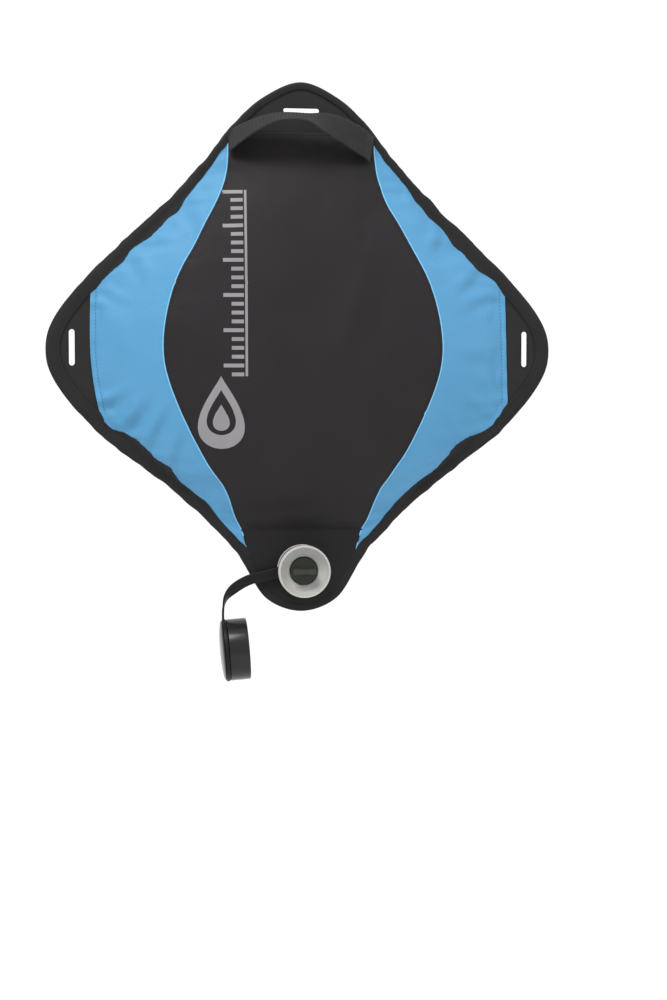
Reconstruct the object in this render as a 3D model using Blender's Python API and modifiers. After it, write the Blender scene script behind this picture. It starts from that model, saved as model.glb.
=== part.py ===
"""Folding water bag with a turn tap, a tethered cap and a carry handle.

The bag hangs in the XZ plane with its front towards -Y. The origin is the
centre of the slot in the top tab. Lengths are in metres.
"""
import math
from bisect import bisect_left

import bmesh
import bpy
from mathutils import Matrix, Vector

# Driving dimensions ---------------------------------------------------------
GAP = 0.0003            # clearance between pieces that touch

# Right half of the bag's outline as (x, z), from the top tip to the bottom tip
OUTLINE = [(0.0, 0.0205), (0.029, 0.0085), (0.051, -0.0115), (0.068, -0.033), (0.0965, -0.0645),
           (0.152, -0.1175), (0.1835, -0.154), (0.192, -0.181), (0.1835, -0.208), (0.152, -0.2447),
           (0.0977, -0.287), (0.058, -0.325), (0.0445, -0.343), (0.027, -0.370), (0.0, -0.380)]
# Right seam of the centre panel as (x, z), from the top tab to the tap patch
SEAM = [(0.0565, -0.017), (0.055, -0.035), (0.0605, -0.062), (0.077, -0.096), (0.0965, -0.136),
        (0.104, -0.175), (0.099, -0.208), (0.078, -0.256), (0.0585, -0.286), (0.0515, -0.305),
        (0.0455, -0.3175), (0.0427, -0.3273), (0.0398, -0.3385)]
BINDING_WIDTH = 0.010
BINDING_BOTTOM = 0.0065  # width of the binding round the bottom corner
BINDING_TOP = 0.0048     # and round the top tab
BOTTOM_RUN = (-0.280, -0.330)  # heights between which it narrows
TOP_RUN = (-0.085, -0.030)
BINDING_THICK = 0.0016
CLOTH = 0.0008          # coated fabric of the cover
FILM = 0.0003           # film of the water bladder
FILM_Y = 0.0006         # inside of the flat film, each side of the seam plane
CENTRE_Z = -0.180       # middle of the diamond
HALF_SIDE = 0.143       # half the side of the filled diamond
ROUNDNESS = 0.62        # the bag's section is blunter the smaller this is
SAG = 0.22              # how much more it fills towards the bottom
FILM_FILL = 0.88        # the bladder's bulge as a part of its cover's
FILM_SHRINK = 1.09      # how much narrower the bladder's bulge is
TAP_ROOM_DEPTH = 0.008
TAP_ROOM_R = 0.0195
FRONT_BULGE = 0.031
BACK_BULGE = 0.026
TAPER = 0.062           # run over which the bag flattens towards each corner patch
FACE_Y = 0.0012         # inside of the flat cover, each side of the seam plane
TOP_SEAM_Z = -0.017
PATCH_SEAM_Z = -0.3175
BLUE_TIP_Z = -0.3375
PANEL_ROWS = 24         # rows of facets down a front panel
BACK_ROWS = 28
TAB_SEAM_X = 0.159
FOLD_CLEARANCE = 0.0015
TAB_THICK = 0.0020
SLOT_LENGTH = 0.0285
SLOT_WIDTH = 0.0048
SIDE_SLOT_X = 0.1725
SIDE_SLOT_Z = -0.1795

HANDLE_END_X = 0.0545
HANDLE_MOVING_X = 0.046
HANDLE_END_Z = -0.0305
HANDLE_RISE = 0.0160
HANDLE_STAND_OFF = 0.019
HANDLE_LEAN = math.radians(38)
ANCHOR_GAP = 0.0016
HANDLE_WIDTH = 0.020
HANDLE_THICK = 0.0018

TAP_Z = -0.3475
FLANGE_R = 0.0180
NECK_R = 0.0145
NECK_BORE_R = 0.0123
NECK_FRONT = 0.0072
PATCH_FRONT = 0.0024
LOCK_RING_THICK = 0.0020
TETHER_RING_THICK = 0.0020
COLLAR_BACK = 0.0077
COLLAR_FRONT = 0.0260
COLLAR_R = 0.0197
PLUG_R = 0.0120
PLUG_END = 0.0016
ROTOR_BORE_R = 0.0093
ROTOR_R = 0.0090
ROTOR_HOLLOW_R = 0.0063
ROTOR_END = -0.0004
ROTOR_SEALS = {"front": 0.0062, "back": 0.0030}
PORT_R = 0.0033
PORT_FORWARD = 0.0116
OUTLET_R = (0.0034, 0.0040)  # at the rotor and at the outside
PADDLE_SEAT = 0.0158

STRAP_WIDTH = 0.008
STRAP_THICK = 0.002
STRAP_Y = -0.0062
FLEX_POINT = (-0.0602, STRAP_Y, -0.3735)
FLEX_CLEARANCE = 0.0007
# Centre line of the strap as (x, z), from the ring to the flex point
STRAP_ROUTE = [(-0.0165, -0.3505), (-0.028, -0.352), (-0.040, -0.3548), (-0.051, -0.3608),
               (-0.0585, -0.3675), (-0.0602, -0.3735 + FLEX_CLEARANCE)]

CAP_TILT = math.radians(4.4)
CAP_CENTRE = (-0.0507, STRAP_Y, -0.4078)
CAP_R = 0.0233
CAP_LENGTH = 0.0186
LOOP_BACK = 0.0155
LOOP_THICK = 0.0028
LOOP_R = 0.0235
LOOP_BORE_R = 0.0215

ROUND_STEPS = 32

BLACK_CLOTH = ("black_cloth", (0.030, 0.026, 0.029), 0.75)
BLUE_CLOTH = ("blue_cloth", (0.150, 0.420, 0.700), 0.60)
BINDING_TAPE = ("binding_tape", (0.016, 0.015, 0.016), 0.80)
WEBBING = ("webbing", (0.028, 0.028, 0.030), 0.85)
FILM_SKIN = ("film_skin", (0.55, 0.57, 0.60), 0.30)
GLAND_WHITE = ("gland_plastic", (0.70, 0.70, 0.68), 0.40)
COLLAR_CLEAR = ("collar_plastic", (0.46, 0.46, 0.44), 0.28)
PADDLE_GREY = ("paddle_plastic", (0.045, 0.047, 0.038), 0.45)
STRAP_BLACK = ("strap_rubber", (0.012, 0.010, 0.012), 0.50)
CAP_BLACK = ("cap_plastic", (0.020, 0.019, 0.021), 0.18)
SEAL_BLACK = ("seal_rubber", (0.010, 0.010, 0.010), 0.70)


# Scene helpers --------------------------------------------------------------
def clear_scene():
    for obj in list(bpy.data.objects):
        bpy.data.objects.remove(obj, do_unlink=True)


def new_collection(name):
    group = bpy.data.collections.new(name)
    bpy.context.scene.collection.children.link(group)
    return group


def paint(obj, finish):
    name, colour, roughness = finish
    mat = bpy.data.materials.new(obj.name + "_" + name)
    mat.use_nodes = True
    shader = mat.node_tree.nodes["Principled BSDF"]
    shader.inputs["Base Color"].default_value = (*colour, 1.0)
    shader.inputs["Roughness"].default_value = roughness
    shader.inputs["Metallic"].default_value = 0.0
    obj.data.materials.append(mat)


def add_object(name, data, finish=None):
    obj = bpy.data.objects.new(name, data)
    if finish is None:
        CUTTERS.objects.link(obj)
        obj.hide_render = True
        obj.display_type = "WIRE"
    else:
        PARTS.objects.link(obj)
        paint(obj, finish)
    return obj


def mesh_from(name, bm):
    """Mesh of a closed body, with its faces pointing out."""
    bmesh.ops.recalc_face_normals(bm, faces=bm.faces)
    if bm.calc_volume(signed=True) < 0:
        bmesh.ops.reverse_faces(bm, faces=bm.faces)
    mesh = bpy.data.meshes.new(name)
    bm.to_mesh(mesh)
    bm.free()
    return mesh


def smooth(obj, degrees=35.0):
    obj.data.shade_smooth()
    obj.data.set_sharp_from_angle(angle=math.radians(degrees))


def boolean(obj, other, operation):
    mod = obj.modifiers.new(other.name, "BOOLEAN")
    mod.operation = operation
    mod.solver = "EXACT"
    mod.object = other


# Curves in the bag's plane --------------------------------------------------
def spline_through(points, steps, across_axis=False):
    """Smooth (Catmull-Rom) line through points, with steps segments per span."""
    first, last = points[0], points[-1]
    if across_axis:
        first, last = (-points[1][0], points[1][1]), (-points[-2][0], points[-2][1])
    ends = [first] + list(points) + [last]
    line = []
    for i in range(1, len(ends) - 2):
        before, start, stop, after = (Vector(p) for p in ends[i - 1:i + 3])
        for step in range(steps):
            t = step / steps
            line.append(0.5 * (2 * start + (stop - before) * t
                               + (2 * before - 5 * start + 4 * stop - after) * t ** 2
                               + (3 * start - before - 3 * stop + after) * t ** 3))
    line.append(Vector(points[-1]))
    return line


def ramp(z, start, end):
    """0 at start and before it, 1 at end and past it, smooth between."""
    return 0.5 - 0.5 * math.cos(math.pi * min(max((z - start) / (end - start), 0.0), 1.0))


def band_width(z):
    """Width of the binding; it narrows towards the top and the bottom corner."""
    width = BINDING_WIDTH + (BINDING_BOTTOM - BINDING_WIDTH) * ramp(z, *BOTTOM_RUN)
    return width + (BINDING_TOP - BINDING_WIDTH) * ramp(z, *TOP_RUN)


def inset(line, clearance):
    """Inner edge of the binding, or a line clear of it, down the right half of the bag."""
    moved = []
    for i, point in enumerate(line):
        along = line[min(i + 1, len(line) - 1)] - line[max(i - 1, 0)]
        if i in (0, len(line) - 1):
            along = Vector((1.0 if i == 0 else -1.0, 0.0))
        inward = Vector((along.y, -along.x)).normalized()
        moved.append(point + inward * (band_width(point.y) + clearance))
    return moved


def width_lookup(line):
    """Function giving x at height z on a line that runs downwards."""
    falls = [-p.y for p in line]

    def at(z):
        i = min(max(bisect_left(falls, -z), 1), len(line) - 1)
        low, high = line[i - 1], line[i]
        t = (low.y - z) / max(low.y - high.y, 1e-9)
        return low.x + (high.x - low.x) * min(max(t, 0.0), 1.0)
    return at


def mirrored(line):
    return [Vector((-p.x, p.y)) for p in line]


EDGE = spline_through(OUTLINE, 5, across_axis=True)
INNER = inset(EDGE, 0.0)
PANEL_EDGE = inset(EDGE, GAP)
panel_x = width_lookup(PANEL_EDGE)
seam_x = width_lookup(spline_through(SEAM, 6))


# The filled bag's shape -----------------------------------------------------
def ease(t):
    return math.sin(0.5 * math.pi * min(max(t, 0.0), 1.0))


def fullness(x, z):
    """0 at the seams and the corner patches, about 1 in the middle of the bag."""
    a = (x + z - CENTRE_Z) / math.sqrt(2) / HALF_SIDE
    b = (x - z + CENTRE_Z) / math.sqrt(2) / HALF_SIDE
    pillow = (max(1 - a * a, 0.0) * max(1 - b * b, 0.0)) ** ROUNDNESS
    flat = ease((TAB_SEAM_X - abs(x)) / TAPER)
    flat *= ease((TOP_SEAM_Z - z) / TAPER) * ease((z - PATCH_SEAM_Z) / TAPER)
    return pillow * flat * (1.0 - SAG * (z - CENTRE_Z) / HALF_SIDE)


def tap_bump(x, z):
    """Room behind the tap for the rotor's inner end."""
    r = math.hypot(x, z - TAP_Z)
    return TAP_ROOM_DEPTH * ramp(-r, -TAP_ROOM_R, 0.0)


def front_height(x, z):
    return FACE_Y + FRONT_BULGE * fullness(x, z)


def back_height(x, z):
    return FACE_Y + BACK_BULGE * fullness(x, z) + tap_bump(x, z)


def film_fullness(x, z):
    """Fullness of the water bladder, which is a little smaller than its cover."""
    return FILM_FILL * fullness(FILM_SHRINK * x, CENTRE_Z + FILM_SHRINK * (z - CENTRE_Z))


# Builders -------------------------------------------------------------------
def levels(top, bottom, rows):
    return [top + (bottom - top) * i / rows for i in range(rows + 1)]


def shell(name, finish, heights, left, right, depth, thickness, columns, side):
    """Sheet between two edges left(z) and right(z); side is -1 in front, 1 behind.

    heights are the z of its rows, and depth(x, z) is how far it stands off the seam plane.
    """
    bm = bmesh.new()
    rows = len(heights) - 1
    bmesh.ops.create_grid(bm, x_segments=columns, y_segments=rows, size=0.5)
    for v in bm.verts:
        z = heights[round((0.5 - v.co.y) * rows)]
        x = left(z) + (right(z) - left(z)) * (v.co.x + 0.5)
        v.co = (x, side * depth(x, z), z)
    thicken(bm, side * thickness)
    obj = add_object(name, mesh_from(name, bm), finish)
    smooth(obj)
    return obj


def thicken(bm, offset_y):
    grown = bmesh.ops.extrude_face_region(bm, geom=bm.faces[:])["geom"]
    verts = [g for g in grown if isinstance(g, bmesh.types.BMVert)]
    bmesh.ops.translate(bm, verts=verts, vec=(0.0, offset_y, 0.0))


def flat_piece(name, finish, loops, middle_y, thickness):
    """Plate in the XZ plane; the first loop is its outline, the others its holes."""
    curve = bpy.data.curves.new(name, "CURVE")
    curve.dimensions = "2D"
    curve.fill_mode = "BOTH"
    curve.extrude = thickness / 2
    for loop in loops:
        spline = curve.splines.new("POLY")
        spline.points.add(len(loop) - 1)
        for point, (x, z) in zip(spline.points, loop):
            point.co = (x, z, 0.0, 1.0)
        spline.use_cyclic_u = True
    obj = add_object(name, curve, finish)
    obj.rotation_euler = (math.pi / 2, 0.0, 0.0)
    obj.location = (0.0, middle_y, 0.0)
    return obj


def set_pivot(obj, pivot):
    """Moves a plate's origin onto its joint axis and leaves its shape in place."""
    shift = Vector((pivot[0], pivot[2], 0.0))
    for spline in obj.data.splines:
        for point in spline.points:
            point.co = (point.co.x - shift.x, point.co.y - shift.y, point.co.z, 1.0)
    obj.location = (pivot[0], obj.location.y, pivot[2])


def slot_loop(x, z, along_z):
    """Slot with round ends, centred on (x, z)."""
    radius = SLOT_WIDTH / 2
    reach = SLOT_LENGTH / 2 - radius
    loop = []
    for end in (1, -1):
        for step in range(9):
            turn = math.pi * step / 8 + (0 if end == 1 else math.pi)
            loop.append((radius * math.cos(turn), end * reach + radius * math.sin(turn)))
    if along_z:
        return [(x + a, z + b) for a, b in loop]
    return [(x - b, z + a) for a, b in loop]


def circle_loop(x, z, radius, steps=ROUND_STEPS):
    turns = [2 * math.pi * i / steps for i in range(steps)]
    return [(x + radius * math.cos(t), z + radius * math.sin(t)) for t in turns]


FORWARD = Matrix.Rotation(math.pi / 2, 4, "X")
CAP_AXES = Matrix.Rotation(-math.pi / 2 - CAP_TILT, 4, "Y")


def turned(name, finish, profile, origin, axes, closed=True, steps=ROUND_STEPS):
    """Solid of revolution; profile is (radius, distance along the axis)."""
    mesh = bpy.data.meshes.new(name)
    count = len(profile)
    edges = [(i, i + 1) for i in range(count - 1)]
    if closed:
        edges.append((count - 1, 0))
    mesh.from_pydata([(r, 0.0, h) for r, h in profile], edges, [])
    obj = add_object(name, mesh, finish)
    obj.matrix_world = Matrix.Translation(origin) @ axes
    screw = obj.modifiers.new("Turn", "SCREW")
    screw.steps = steps
    screw.render_steps = steps
    screw.use_merge_vertices = True
    screw.merge_threshold = 0.00001
    screw.use_smooth_shade = False
    return obj


def ring_profile(inner, outer, low, high):
    return [(outer, high), (outer, low), (inner, low), (inner, high)]


def seal_profile(radius, section, height, steps=6):
    """Round section of an O-ring, running down its outer side."""
    turns = [math.pi / 2 - 2 * math.pi * i / steps for i in range(steps)]
    return [(radius + section * math.cos(t), height + section * math.sin(t)) for t in turns]


def rod_cutter(name, radius, start, end, end_radius=None):
    """Closed cylinder or cone between two points, for cutting."""
    start, end = Vector(start), Vector(end)
    bm = bmesh.new()
    bmesh.ops.create_cone(bm, cap_ends=True, segments=24, radius1=radius,
                          radius2=end_radius or radius, depth=(end - start).length)
    turn = (end - start).to_track_quat("Z", "Y").to_matrix().to_4x4()
    bm.transform(Matrix.Translation((start + end) / 2) @ turn)
    return add_object(name, mesh_from(name, bm))


def box_mesh(name, size, centre, bevel=0.0):
    bm = bmesh.new()
    bmesh.ops.create_cube(bm, size=1.0)
    bmesh.ops.scale(bm, verts=bm.verts, vec=size)
    bmesh.ops.translate(bm, verts=bm.verts, vec=centre)
    if bevel:
        bmesh.ops.bevel(bm, geom=bm.edges[:], offset=bevel, segments=3, profile=0.5,
                        affect="EDGES")
    return mesh_from(name, bm)


def ribbon(name, finish, centres, directions, width, thickness, pivot, across=2):
    """Strap along a centre line, with its width laid along each direction."""
    count = len(centres)
    bm = bmesh.new()
    bmesh.ops.create_grid(bm, x_segments=count - 1, y_segments=across, size=0.5)
    for v in bm.verts:
        i = round((v.co.x + 0.5) * (count - 1))
        v.co = Vector(centres[i]) + Vector(directions[i]) * (v.co.y * width) - Vector(pivot)
    obj = add_object(name, mesh_from(name, bm), finish)
    obj.location = pivot
    solid = obj.modifiers.new("Thickness", "SOLIDIFY")
    solid.thickness = thickness
    solid.offset = 0.0
    return obj


# Bag ------------------------------------------------------------------------
def seam_left(z):
    return -seam_x(z)


def blue_left(z):
    return -seam_x(z) - GAP


def blue_right(z):
    return seam_x(z) + GAP


def cover_right(z):
    return min(panel_x(z), TAB_SEAM_X - GAP)


def cover_left(z):
    return -cover_right(z)


def make_cover():
    centre = levels(TOP_SEAM_Z - GAP, PATCH_SEAM_Z + GAP, PANEL_ROWS)
    beside = centre[1:] + levels(centre[-1], BLUE_TIP_Z, 2)[1:]
    shell("front_centre_panel", BLACK_CLOTH, centre, seam_left, seam_x, front_height, CLOTH, 10, -1)
    shell("side_panel_left", BLUE_CLOTH, beside, cover_left, blue_left, front_height, CLOTH, 4, -1)
    shell("side_panel_right", BLUE_CLOTH, beside, blue_right, cover_right, front_height, CLOTH, 4,
          -1)
    behind = levels(TOP_SEAM_Z - GAP, INNER[-1].y + 2 * GAP, BACK_ROWS)
    shell("back_panel", BLACK_CLOTH, behind, cover_left, cover_right, back_height, CLOTH, 12, 1)


def film_right(z):
    return min(panel_x(z), TAB_SEAM_X) - 2 * GAP


def film_left(z):
    return -film_right(z)


def film_front(x, z):
    return FILM_Y + FRONT_BULGE * film_fullness(x, z)


def film_back(x, z):
    return FILM_Y + BACK_BULGE * film_fullness(x, z) + 0.9 * tap_bump(x, z)


def make_bladder():
    top, bottom = TOP_SEAM_Z - 3 * GAP, INNER[-1].y + 4 * GAP
    film = shell("bladder_front_film", FILM_SKIN, levels(top, bottom, PANEL_ROWS - 2), film_left,
                 film_right, film_front, FILM, 8, -1)
    hole = rod_cutter("film_hole", NECK_R + GAP, (0, -0.003, TAP_Z), (0, 0.003, TAP_Z))
    boolean(film, hole, "DIFFERENCE")
    shell("bladder_back_film", FILM_SKIN, levels(top, bottom, BACK_ROWS), film_left, film_right,
          film_back, FILM, 12, 1)


def half_band(above):
    """Outer and inner edge of the binding over the upper or lower right quarter."""
    lines = []
    for line in (EDGE, INNER):
        seam = Vector((TAB_SEAM_X, crossing(line, TAB_SEAM_X, above)))
        run = [p for p in line if (p.y > CENTRE_Z) == above and p.x < TAB_SEAM_X]
        lines.append(run + [seam] if above else [seam] + run)
    return lines


def make_binding():
    """Folded tape round the bag in two stretches, each from corner to corner."""
    outer, inner = half_band(True)
    loop = mirrored(outer)[::-1] + outer[1:] + inner[::-1] + mirrored(inner)[1:]
    flat_piece("upper_binding", BINDING_TAPE, [loop], 0.0, BINDING_THICK)
    outer, inner = half_band(False)
    loop = outer + mirrored(outer)[::-1][1:] + mirrored(inner) + inner[::-1][1:]
    flat_piece("lower_binding", BINDING_TAPE, [loop], 0.0, BINDING_THICK)


def crossing(line, x, above):
    """Height where the line passes x, above or below the bag's middle."""
    for low, high in zip(line, line[1:]):
        if (low.x - x) * (high.x - x) <= 0 and (low.y > CENTRE_Z) == above:
            return low.y + (high.y - low.y) * (x - low.x) / (high.x - low.x)
    raise ValueError("the line does not pass this width")


def make_top_tab():
    side = [p for p in PANEL_EDGE if p.y > TOP_SEAM_Z]
    side.append(Vector((panel_x(TOP_SEAM_Z), TOP_SEAM_Z)))
    loop = mirrored(side)[::-1] + side[1:]
    slot = slot_loop(0.0, 0.0, along_z=False)
    flat_piece("top_tab", BLACK_CLOTH, [loop, slot], 0.0, TAB_THICK)


def make_side_tab(name, sign):
    """Corner tab and its binding; both turn about the stitched fold line."""
    near = TAB_SEAM_X + FOLD_CLEARANCE
    pivot = (sign * TAB_SEAM_X, 0.0, SIDE_SLOT_Z)
    plate = plate_beyond(PANEL_EDGE, near)
    slot = slot_loop(SIDE_SLOT_X, SIDE_SLOT_Z, along_z=True)
    loops = [[(sign * p[0], p[1]) for p in loop] for loop in (plate, slot)]
    tab = flat_piece(name + "_tab", BLACK_CLOTH, loops, 0.0, TAB_THICK)
    set_pivot(tab, pivot)
    outer = plate_beyond(EDGE, near)
    inner = plate_beyond(INNER, near)
    band = [(sign * p[0], p[1]) for p in outer + inner[::-1]]
    tape = flat_piece(name + "_tab_binding", BINDING_TAPE, [band], 0.0, BINDING_THICK)
    set_pivot(tape, pivot)


def plate_beyond(line, x):
    """The line's stretch beyond x, from its upper to its lower crossing."""
    tip = [p for p in line if p.x > x]
    return [Vector((x, crossing(line, x, True)))] + tip + [Vector((x, crossing(line, x, False)))]


def make_tap_patch():
    """Double bottom corner round the tap's neck, between the tips of the side panels."""
    heights = levels(PATCH_SEAM_Z, BLUE_TIP_Z, 2)
    side = [Vector((seam_x(z) - GAP, z)) for z in heights]
    side += [p for p in PANEL_EDGE if p.y < BLUE_TIP_Z - GAP]
    loop = side + mirrored(side)[::-1][1:]
    hole = circle_loop(0.0, TAP_Z, NECK_R + GAP)
    thickness = PATCH_FRONT - FACE_Y
    flat_piece("tap_patch", BLACK_CLOTH, [loop, hole], -FACE_Y - thickness / 2, thickness)


# Carry handle ---------------------------------------------------------------
def handle_centre(x):
    along = math.cos(0.5 * math.pi * min(abs(x) / HANDLE_END_X, 1.0))
    highest = front_height(HANDLE_MOVING_X, HANDLE_END_Z - HANDLE_WIDTH / 2)
    surface = highest + CLOTH + HANDLE_THICK / 2 + 2 * GAP
    y = -surface - HANDLE_STAND_OFF * along ** 0.8
    return Vector((x, y, HANDLE_END_Z + HANDLE_RISE * along ** 0.9))


def handle_lean(x):
    along = math.cos(0.5 * math.pi * min(abs(x) / HANDLE_END_X, 1.0))
    lean = HANDLE_LEAN * along
    return Vector((0.0, math.sin(lean), math.cos(lean)))


def make_handle():
    pivot = handle_centre(HANDLE_END_X)
    pivot.x = 0.0
    moving = [HANDLE_MOVING_X * (2 * i / 22 - 1) for i in range(23)]
    ribbon("carry_handle", WEBBING, [handle_centre(x) for x in moving],
           [handle_lean(x) for x in moving], HANDLE_WIDTH, HANDLE_THICK, pivot)
    start = HANDLE_MOVING_X + ANCHOR_GAP
    for name, sign in (("left", -1), ("right", 1)):
        fixed = [sign * (start + (HANDLE_END_X + 0.001 - start) * i / 4) for i in range(5)]
        ribbon("handle_anchor_" + name, WEBBING, [handle_centre(x) for x in fixed],
               [handle_lean(x) for x in fixed], HANDLE_WIDTH, HANDLE_THICK,
               handle_centre(sign * HANDLE_END_X))


# Tap ------------------------------------------------------------------------
def make_gland():
    profile = [(NECK_R, NECK_FRONT), (NECK_R, 0.0003), (FLANGE_R, 0.0003), (FLANGE_R, -0.0003),
               (NECK_BORE_R, -0.0003), (NECK_BORE_R, NECK_FRONT)]
    origin = (0.0, 0.0, TAP_Z)
    turned("gland", GLAND_WHITE, profile, origin, FORWARD)
    low = PATCH_FRONT + GAP
    turned("gland_lock_ring", GLAND_WHITE,
           ring_profile(NECK_R + GAP, 0.0190, low, low + LOCK_RING_THICK), origin, FORWARD)


def make_collar():
    """Clear tap body: a bowl with the outlet below it, on a plug that fits the neck."""
    origin = (0.0, 0.0, TAP_Z)
    bowl = [(0.0190, COLLAR_FRONT), (COLLAR_R, COLLAR_FRONT - 0.0008), (COLLAR_R, 0.0200),
            (0.0178, 0.0120), (0.0172, COLLAR_BACK), (ROTOR_BORE_R, COLLAR_BACK),
            (ROTOR_BORE_R, PADDLE_SEAT - GAP), (0.0109, PADDLE_SEAT - GAP), (0.0109, 0.0178),
            (0.0140, 0.0196), (0.0170, 0.0228), (0.0180, COLLAR_FRONT - 0.0006),
            (0.0184, COLLAR_FRONT)]
    collar = turned("tap_collar", COLLAR_CLEAR, bowl, origin, FORWARD)
    outlet = rod_cutter("outlet_hole", OUTLET_R[0], (0, -PORT_FORWARD, TAP_Z - 0.004),
                        (0, -PORT_FORWARD, TAP_Z - 0.024), OUTLET_R[1])
    boolean(collar, outlet, "DIFFERENCE")
    front = COLLAR_BACK - GAP
    groove_low, groove_high, groove_r = 0.0031, 0.0047, 0.0107
    plug = [(PLUG_R, front), (PLUG_R, groove_high), (groove_r, groove_high),
            (groove_r, groove_low), (PLUG_R, groove_low), (PLUG_R, PLUG_END),
            (ROTOR_BORE_R, PLUG_END), (ROTOR_BORE_R, front)]
    turned("tap_plug", COLLAR_CLEAR, plug, origin, FORWARD)
    turned("plug_seal", SEAL_BLACK, seal_profile(0.0115, 0.0005, (groove_low + groove_high) / 2),
           origin, FORWARD, steps=24)


def make_rotor():
    """Hollow valve plug: water enters behind and leaves by the port in its side."""
    origin = (0.0, 0.0, TAP_Z)
    groove_r = 0.0078
    front = PADDLE_SEAT - 2 * GAP
    stem_hole_r, front_wall = 0.0028, 0.0016
    profile = [(stem_hole_r, front), (ROTOR_R, front)]
    for middle in ROTOR_SEALS.values():
        profile += [(ROTOR_R, middle + 0.0008), (groove_r, middle + 0.0008),
                    (groove_r, middle - 0.0008), (ROTOR_R, middle - 0.0008)]
    clip_groove_r, clip_low, clip_high = 0.0082, 0.0002, 0.0014
    profile += [(ROTOR_R, clip_high), (clip_groove_r, clip_high), (clip_groove_r, clip_low),
                (ROTOR_R, clip_low), (ROTOR_R, ROTOR_END), (ROTOR_HOLLOW_R, ROTOR_END),
                (ROTOR_HOLLOW_R, front - front_wall), (stem_hole_r, front - front_wall)]
    rotor = turned("valve_rotor", GLAND_WHITE, profile, origin, FORWARD, steps=24)
    port = rod_cutter("port_hole", PORT_R, (0, -PORT_FORWARD, TAP_Z),
                      (0, -PORT_FORWARD, TAP_Z - 0.012))
    boolean(rotor, port, "DIFFERENCE")
    for name, middle in ROTOR_SEALS.items():
        turned("rotor_seal_" + name, SEAL_BLACK, seal_profile(0.00855, 0.00045, middle),
               origin, FORWARD, steps=24)
    clip = turned("rotor_clip", PADDLE_GREY,
                  ring_profile(0.0085, 0.0104, clip_low + GAP, clip_high - GAP),
                  origin, FORWARD, steps=24)
    middle_y = -(clip_low + clip_high) / 2
    gap_cut = add_object("clip_gap", box_mesh("clip_gap", (0.005, 0.004, 0.004),
                                              (0.0, middle_y, TAP_Z + 0.0095)))
    boolean(clip, gap_cut, "DIFFERENCE")


def make_paddle():
    """Turn paddle: a disc with a finger blade in front and a stem in the rotor."""
    origin = (0.0, 0.0, TAP_Z)
    back = PADDLE_SEAT
    profile = [(0.0, back + 0.0020), (0.0098, back + 0.0020), (0.0105, back + 0.0014),
               (0.0105, back), (0.0025, back), (0.0025, back - 0.0030), (0.0, back - 0.0030)]
    paddle = turned("turn_paddle", PADDLE_GREY, profile, origin, FORWARD, closed=False)
    blade = add_object("paddle_blade", box_mesh("paddle_blade", (0.0170, 0.0125, 0.0042),
                                                (0.0, -back - 0.0070, TAP_Z), 0.0012))
    boolean(paddle, blade, "UNION")


# Cap and its strap ----------------------------------------------------------
def strap_direction(i, count, line):
    """Across the strap: in the bag's plane at the ring, turned to Y at the flex point."""
    ahead = line[min(i + 1, count - 1)] - line[max(i - 1, 0)]
    flat = Vector((-ahead.y, 0.0, ahead.x)).normalized()
    turn = ease((i / (count - 1) - 0.55) / 0.45) ** 2
    return (flat * math.cos(0.5 * math.pi * turn)
            + Vector((0.0, 1.0, 0.0)) * math.sin(0.5 * math.pi * turn)).normalized()


def make_upper_tether():
    low = PATCH_FRONT + LOCK_RING_THICK + 2 * GAP
    ring = turned("tether_upper", STRAP_BLACK,
                  ring_profile(NECK_R + 0.0004, 0.0185, low, low + TETHER_RING_THICK),
                  (0.0, 0.0, TAP_Z), FORWARD)
    line = spline_through(STRAP_ROUTE, 4)
    centres = [Vector((p.x, STRAP_Y + 0.0005, p.y)) for p in line]
    directions = [strap_direction(i, len(line), line) for i in range(len(line))]
    strap = ribbon("strap_arm", None, centres, directions, STRAP_WIDTH, STRAP_THICK - 0.0004,
                   (0.0, 0.0, 0.0), across=1)
    boolean(ring, strap, "UNION")


def make_lower_tether():
    origin = cap_point(0.0)
    loop = turned("tether_lower", STRAP_BLACK,
                  ring_profile(LOOP_BORE_R, LOOP_R, LOOP_BACK, LOOP_BACK + LOOP_THICK),
                  origin, CAP_AXES)
    top = FLEX_POINT[2] - FLEX_CLEARANCE
    foot = origin + CAP_AXES.to_3x3() @ Vector((LOOP_R - 0.0008, 0.0, LOOP_BACK + LOOP_THICK / 2))
    count = 7
    centres = []
    for i in range(count):
        t = i / (count - 1)
        centres.append(Vector((FLEX_POINT[0] + (foot.x - FLEX_POINT[0]) * t, STRAP_Y,
                               top + (foot.z - top) * t)))
    directions = [Vector((0.0, 1.0, 0.0))] * count
    strap = ribbon("strap_leg", None, centres, directions, STRAP_WIDTH, STRAP_THICK,
                   (0.0, 0.0, 0.0), across=1)
    boolean(loop, strap, "UNION")


def cap_point(distance):
    """Point on the cap's axis, at a distance from its open end towards its face."""
    axis = CAP_AXES.to_3x3() @ Vector((0.0, 0.0, 1.0))
    return Vector(CAP_CENTRE) + axis * (distance - CAP_LENGTH / 2)


def make_cap():
    origin = cap_point(0.0)
    groove_r = LOOP_BORE_R - GAP
    groove_low = LOOP_BACK - GAP
    groove_high = LOOP_BACK + LOOP_THICK + GAP
    profile = [(0.0, 0.0214), (0.0100, 0.0211), (0.0180, 0.0203), (0.0217, 0.0195),
               (0.0226, groove_high + 0.0002), (0.0226, groove_high), (groove_r, groove_high),
               (groove_r, groove_low), (CAP_R, groove_low), (CAP_R, 0.0004), (0.0229, 0.0),
               (0.0211, 0.0), (0.0208, 0.0004), (0.0208, 0.0140), (0.0190, 0.0145),
               (0.0190, 0.0182), (0.0, 0.0182)]
    turned("cap", CAP_BLACK, profile, origin, CAP_AXES, closed=False)
    liner = [(0.0, 0.0179), (0.0184, 0.0179), (0.0184, 0.0168), (0.0, 0.0168)]
    turned("cap_liner", SEAL_BLACK, liner, origin, CAP_AXES, closed=False)


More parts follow.
